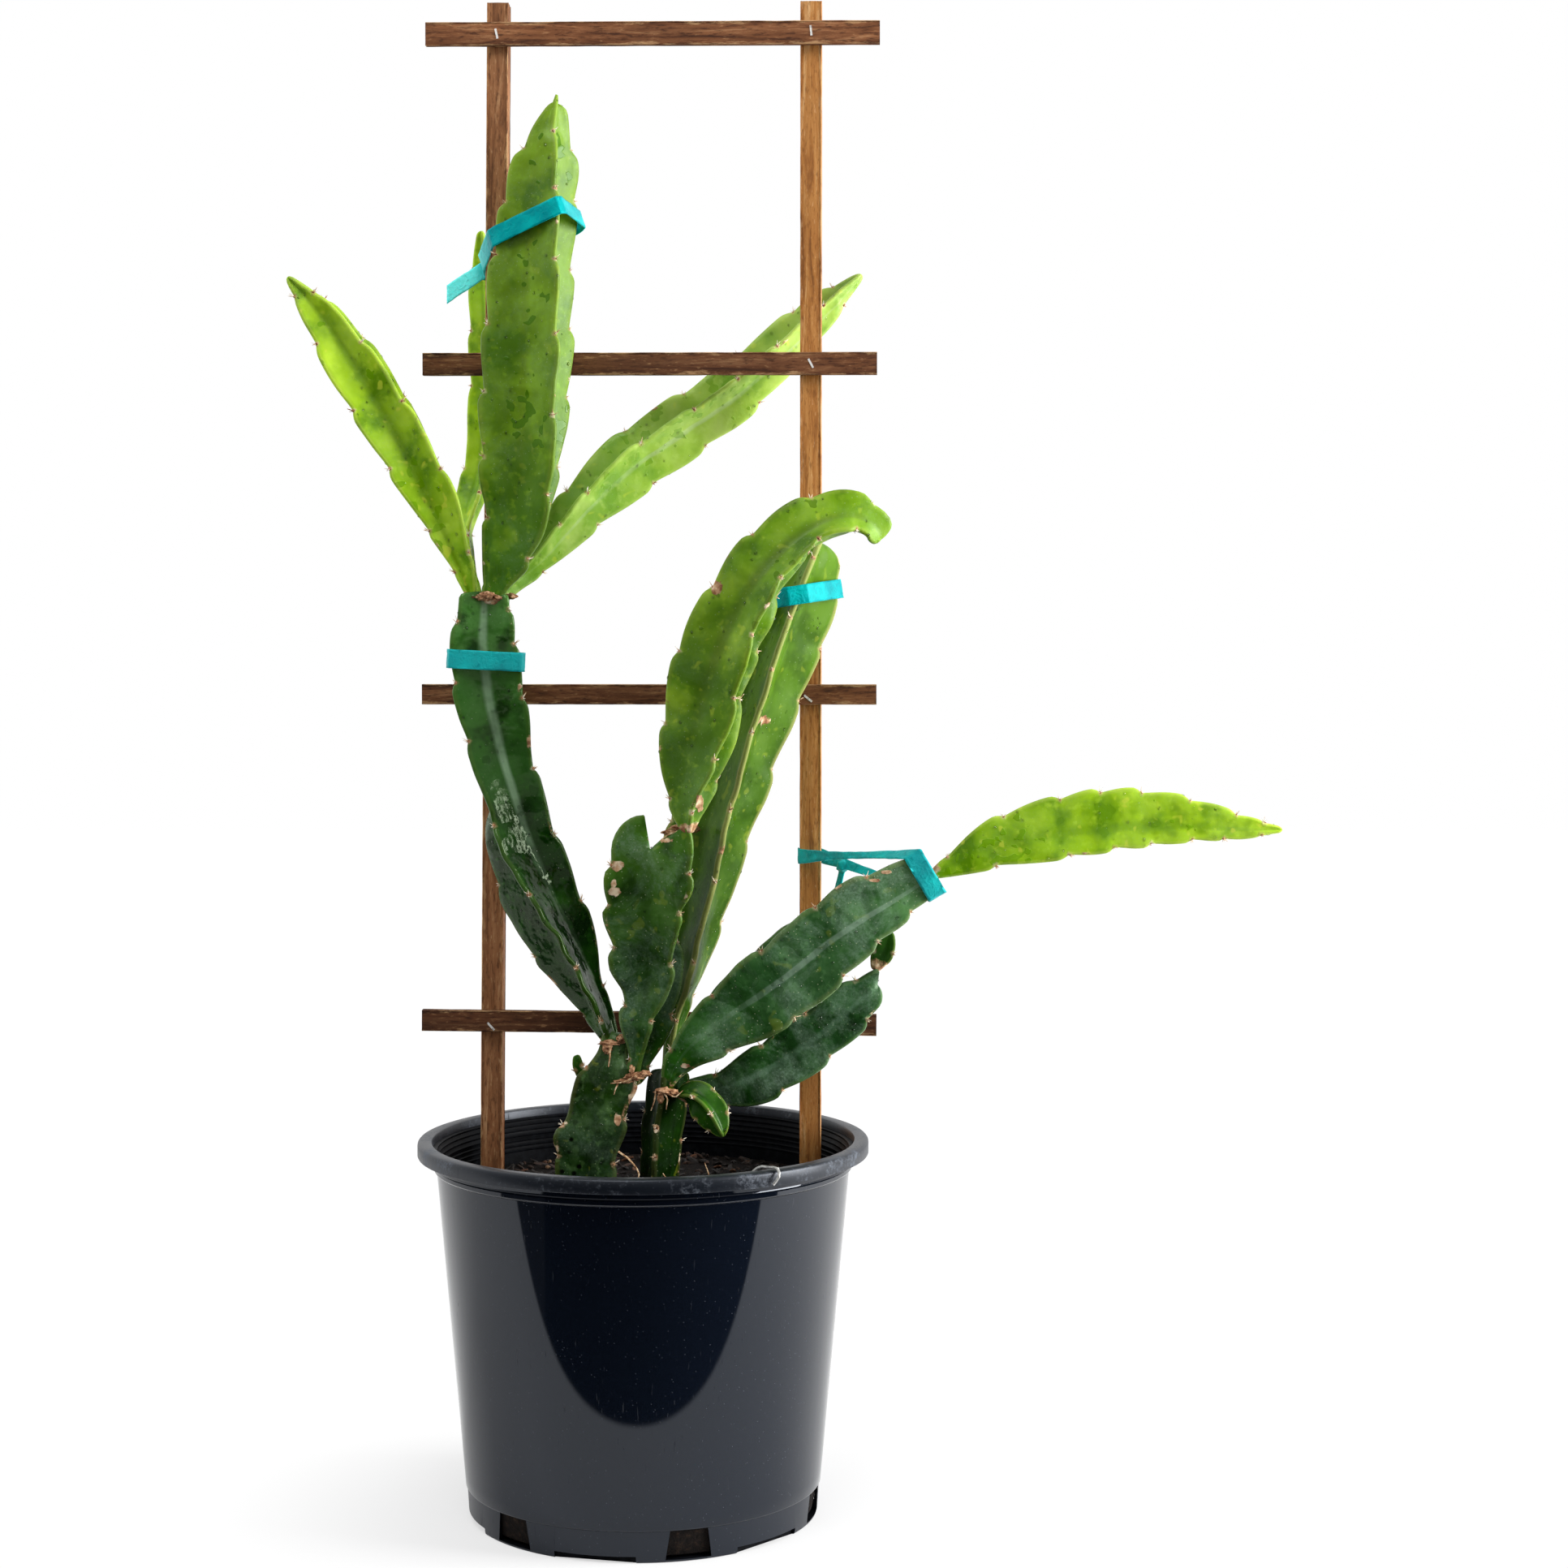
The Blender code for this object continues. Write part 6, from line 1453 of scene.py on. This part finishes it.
def build_trellis():
    """Two stakes with four crossbars on their viewer's side, held by staples."""
    bar_wood = sawn_wood("stained_pine_dark", "#341A0C", "#744628", "#8E5C3A", "#B88A60")
    left_wood = sawn_wood("stained_pine_brown", "#50301A", "#8E5C38", "#A6724A", "#C89C70")
    light_wood = sawn_wood("stained_pine_orange", "#7A4A20", "#AC7036", "#C08648", "#DEB27C")
    yaw = Matrix.Rotation(math.radians(TRELLIS_YAW), 4, "Z")
    trellis = Matrix.Translation((0.0, TRELLIS_FRONT * MM, 0.0)) @ yaw
    stake_y = CROSSBAR_DEPTH + WOOD_GAP + STAKE_WIDTH / 2
    middle_z = STAKE_FOOT + STAKE_LENGTH / 2
    upright = Matrix.Rotation(-math.pi / 2, 4, "Y")
    for name, x, lean, wood, tone in (("stake_left", LEFT_STAKE_X, LEFT_STAKE_LEAN, left_wood, 0.18),
                                      ("stake_right", RIGHT_STAKE_X, RIGHT_STAKE_LEAN, light_wood, 0.05)):
        place = Matrix.Translation(Vector((x, stake_y, middle_z)) * MM)
        turned = place @ Matrix.Rotation(math.radians(lean), 4, "Y") @ upright
        plank(name, STAKE_LENGTH, STAKE_WIDTH, STAKE_WIDTH, trellis @ turned, wood, tone, STAKE_POINT_LENGTH)
    for k, level in enumerate(CROSSBAR_LEVELS):
        x = (LEFT_STAKE_X + RIGHT_STAKE_X) / 2 + CROSSBAR_OFFSETS[k]
        place = Matrix.Translation(Vector((x, CROSSBAR_DEPTH / 2, level)) * MM)
        turned = place @ Matrix.Rotation(math.radians(CROSSBAR_TILTS[k]), 4, "Y")
        plank(f"crossbar_{k + 1}", CROSSBAR_LENGTH, CROSSBAR_DEPTH, CROSSBAR_HEIGHTS[k], trellis @ turned,
              bar_wood, CROSSBAR_TONES[k], worn_face=BAR_WEAR)


def dress_wires():
    """The staples and the rim wire keep their solids' own form."""
    steel, zinc = staple_steel(), galvanised_wire()
    for name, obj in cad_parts.items():
        if name.startswith("staple") or name == "rim_wire":
            obj.data.materials.clear()
            obj.data.materials.append(zinc if name == "rim_wire" else steel)


# Ties

# How pale cyan each tape is painted all over (0 to 1), as painted backlight, and left of which X its
# loose end hangs, if it has one; the loose end is painted fully pale.
TAPE_TONES = {"tie_upper_left": (0.0, -99.0), "tie_lower_left": (0.08, -900.0),
              "tie_upper_right": (0.0, -900.0), "tie_lower_right": (0.08, -900.0)}


def garden_tape():
    """Stretch vinyl tie tape: sheer teal vinyl, soft and slightly see-through, with stretch creases.

    The creases are painted darker as shade, and where light shines through from behind, the tape is
    painted pale cyan as painted backlight.
    """
    made, tree, shader = new_material("stretch_vinyl_tape", Roughness=0.45, IOR=1.5, Specular_IOR_Level=0.3,
                                      Specular_Tint=(0.05, 0.9, 1.0, 1.0), Subsurface_Weight=0.3,
                                      Subsurface_Scale=0.002, Subsurface_Radius=(0.1, 1.0, 1.0))
    place = add(tree, "TexCoord", output="Object")
    cloud = add(tree, "TexNoise", {"Vector": place, "Scale": 60.0, "Detail": 4.0})
    creases = add(tree, "TexNoise", {"Vector": place, "Scale": 240.0, "Detail": 3.0, "Distortion": 1.2})
    colour = add(tree, "ValToRGB", [cloud], [(0.36, "#008A90"), (0.52, "#00A2A4"), (0.70, "#00B8B6")])
    painted_backlight = add(tree, "Attribute", output="Fac", attribute_name="painted_backlight")
    # Painted backlight: pale cyan where light shines through the tape from behind.
    colour = layer(tree, colour, "#7AF8F4", painted_backlight)
    # Painted shade: darker teal in the stretch creases, where the folds are shaded.
    colour = layer(tree, colour, "#006C76", creases, 0.58, 0.72, 0.45)
    bump = add(tree, "Bump", {"Strength": 0.6, "Distance": 0.001, "Height": creases})
    feed(tree, shader, {"Base Color": colour, "Normal": bump})
    return made


def build_tie(name, tape):
    """A tape tie with creases and softened edges, on the solid's own form."""
    bm = bmesh.new()
    bm.from_mesh(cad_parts[name].data)
    bmesh.ops.remove_doubles(bm, verts=bm.verts, dist=0.00001)
    for _ in range(3):
        long_edges = [e for e in bm.edges if e.calc_length() > TAPE_STEP * MM]
        bmesh.ops.subdivide_edges(bm, edges=long_edges, cuts=1)
        bmesh.ops.triangulate(bm, faces=bm.faces)
    bm.normal_update()
    moves = []
    painted_backlight = bm.verts.layers.float.new("painted_backlight")
    shade, tail_from = TAPE_TONES[name]
    for vert in bm.verts:
        p = vert.co / MM
        # Painted backlight: the tape's own share all over, rising to full over 16 mm towards its loose end.
        vert[painted_backlight] = shade + min(1.0, max(0.0, (tail_from - p.x) / 16.0)) * (1.0 - shade)
        crease = noise.noise(Vector((p.x / 7.0, p.y / 7.0, p.z / 2.2)))
        moves.append(vert.normal * (0.28 * crease - 0.10) * MM)
    for vert, move in zip(bm.verts, moves):
        vert.co += move
    obj = new_piece(name + "_tape", bm, [tape], 50.0)
    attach(obj, "root")
    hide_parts(name)


def main():
    build_camera()
    build_studio()
    build_plant()
    build_pot()
    build_soil()
    build_trellis()
    tape = garden_tape()
    for name in TAPE_TONES:
        build_tie(name, tape)
    dress_wires()


main()
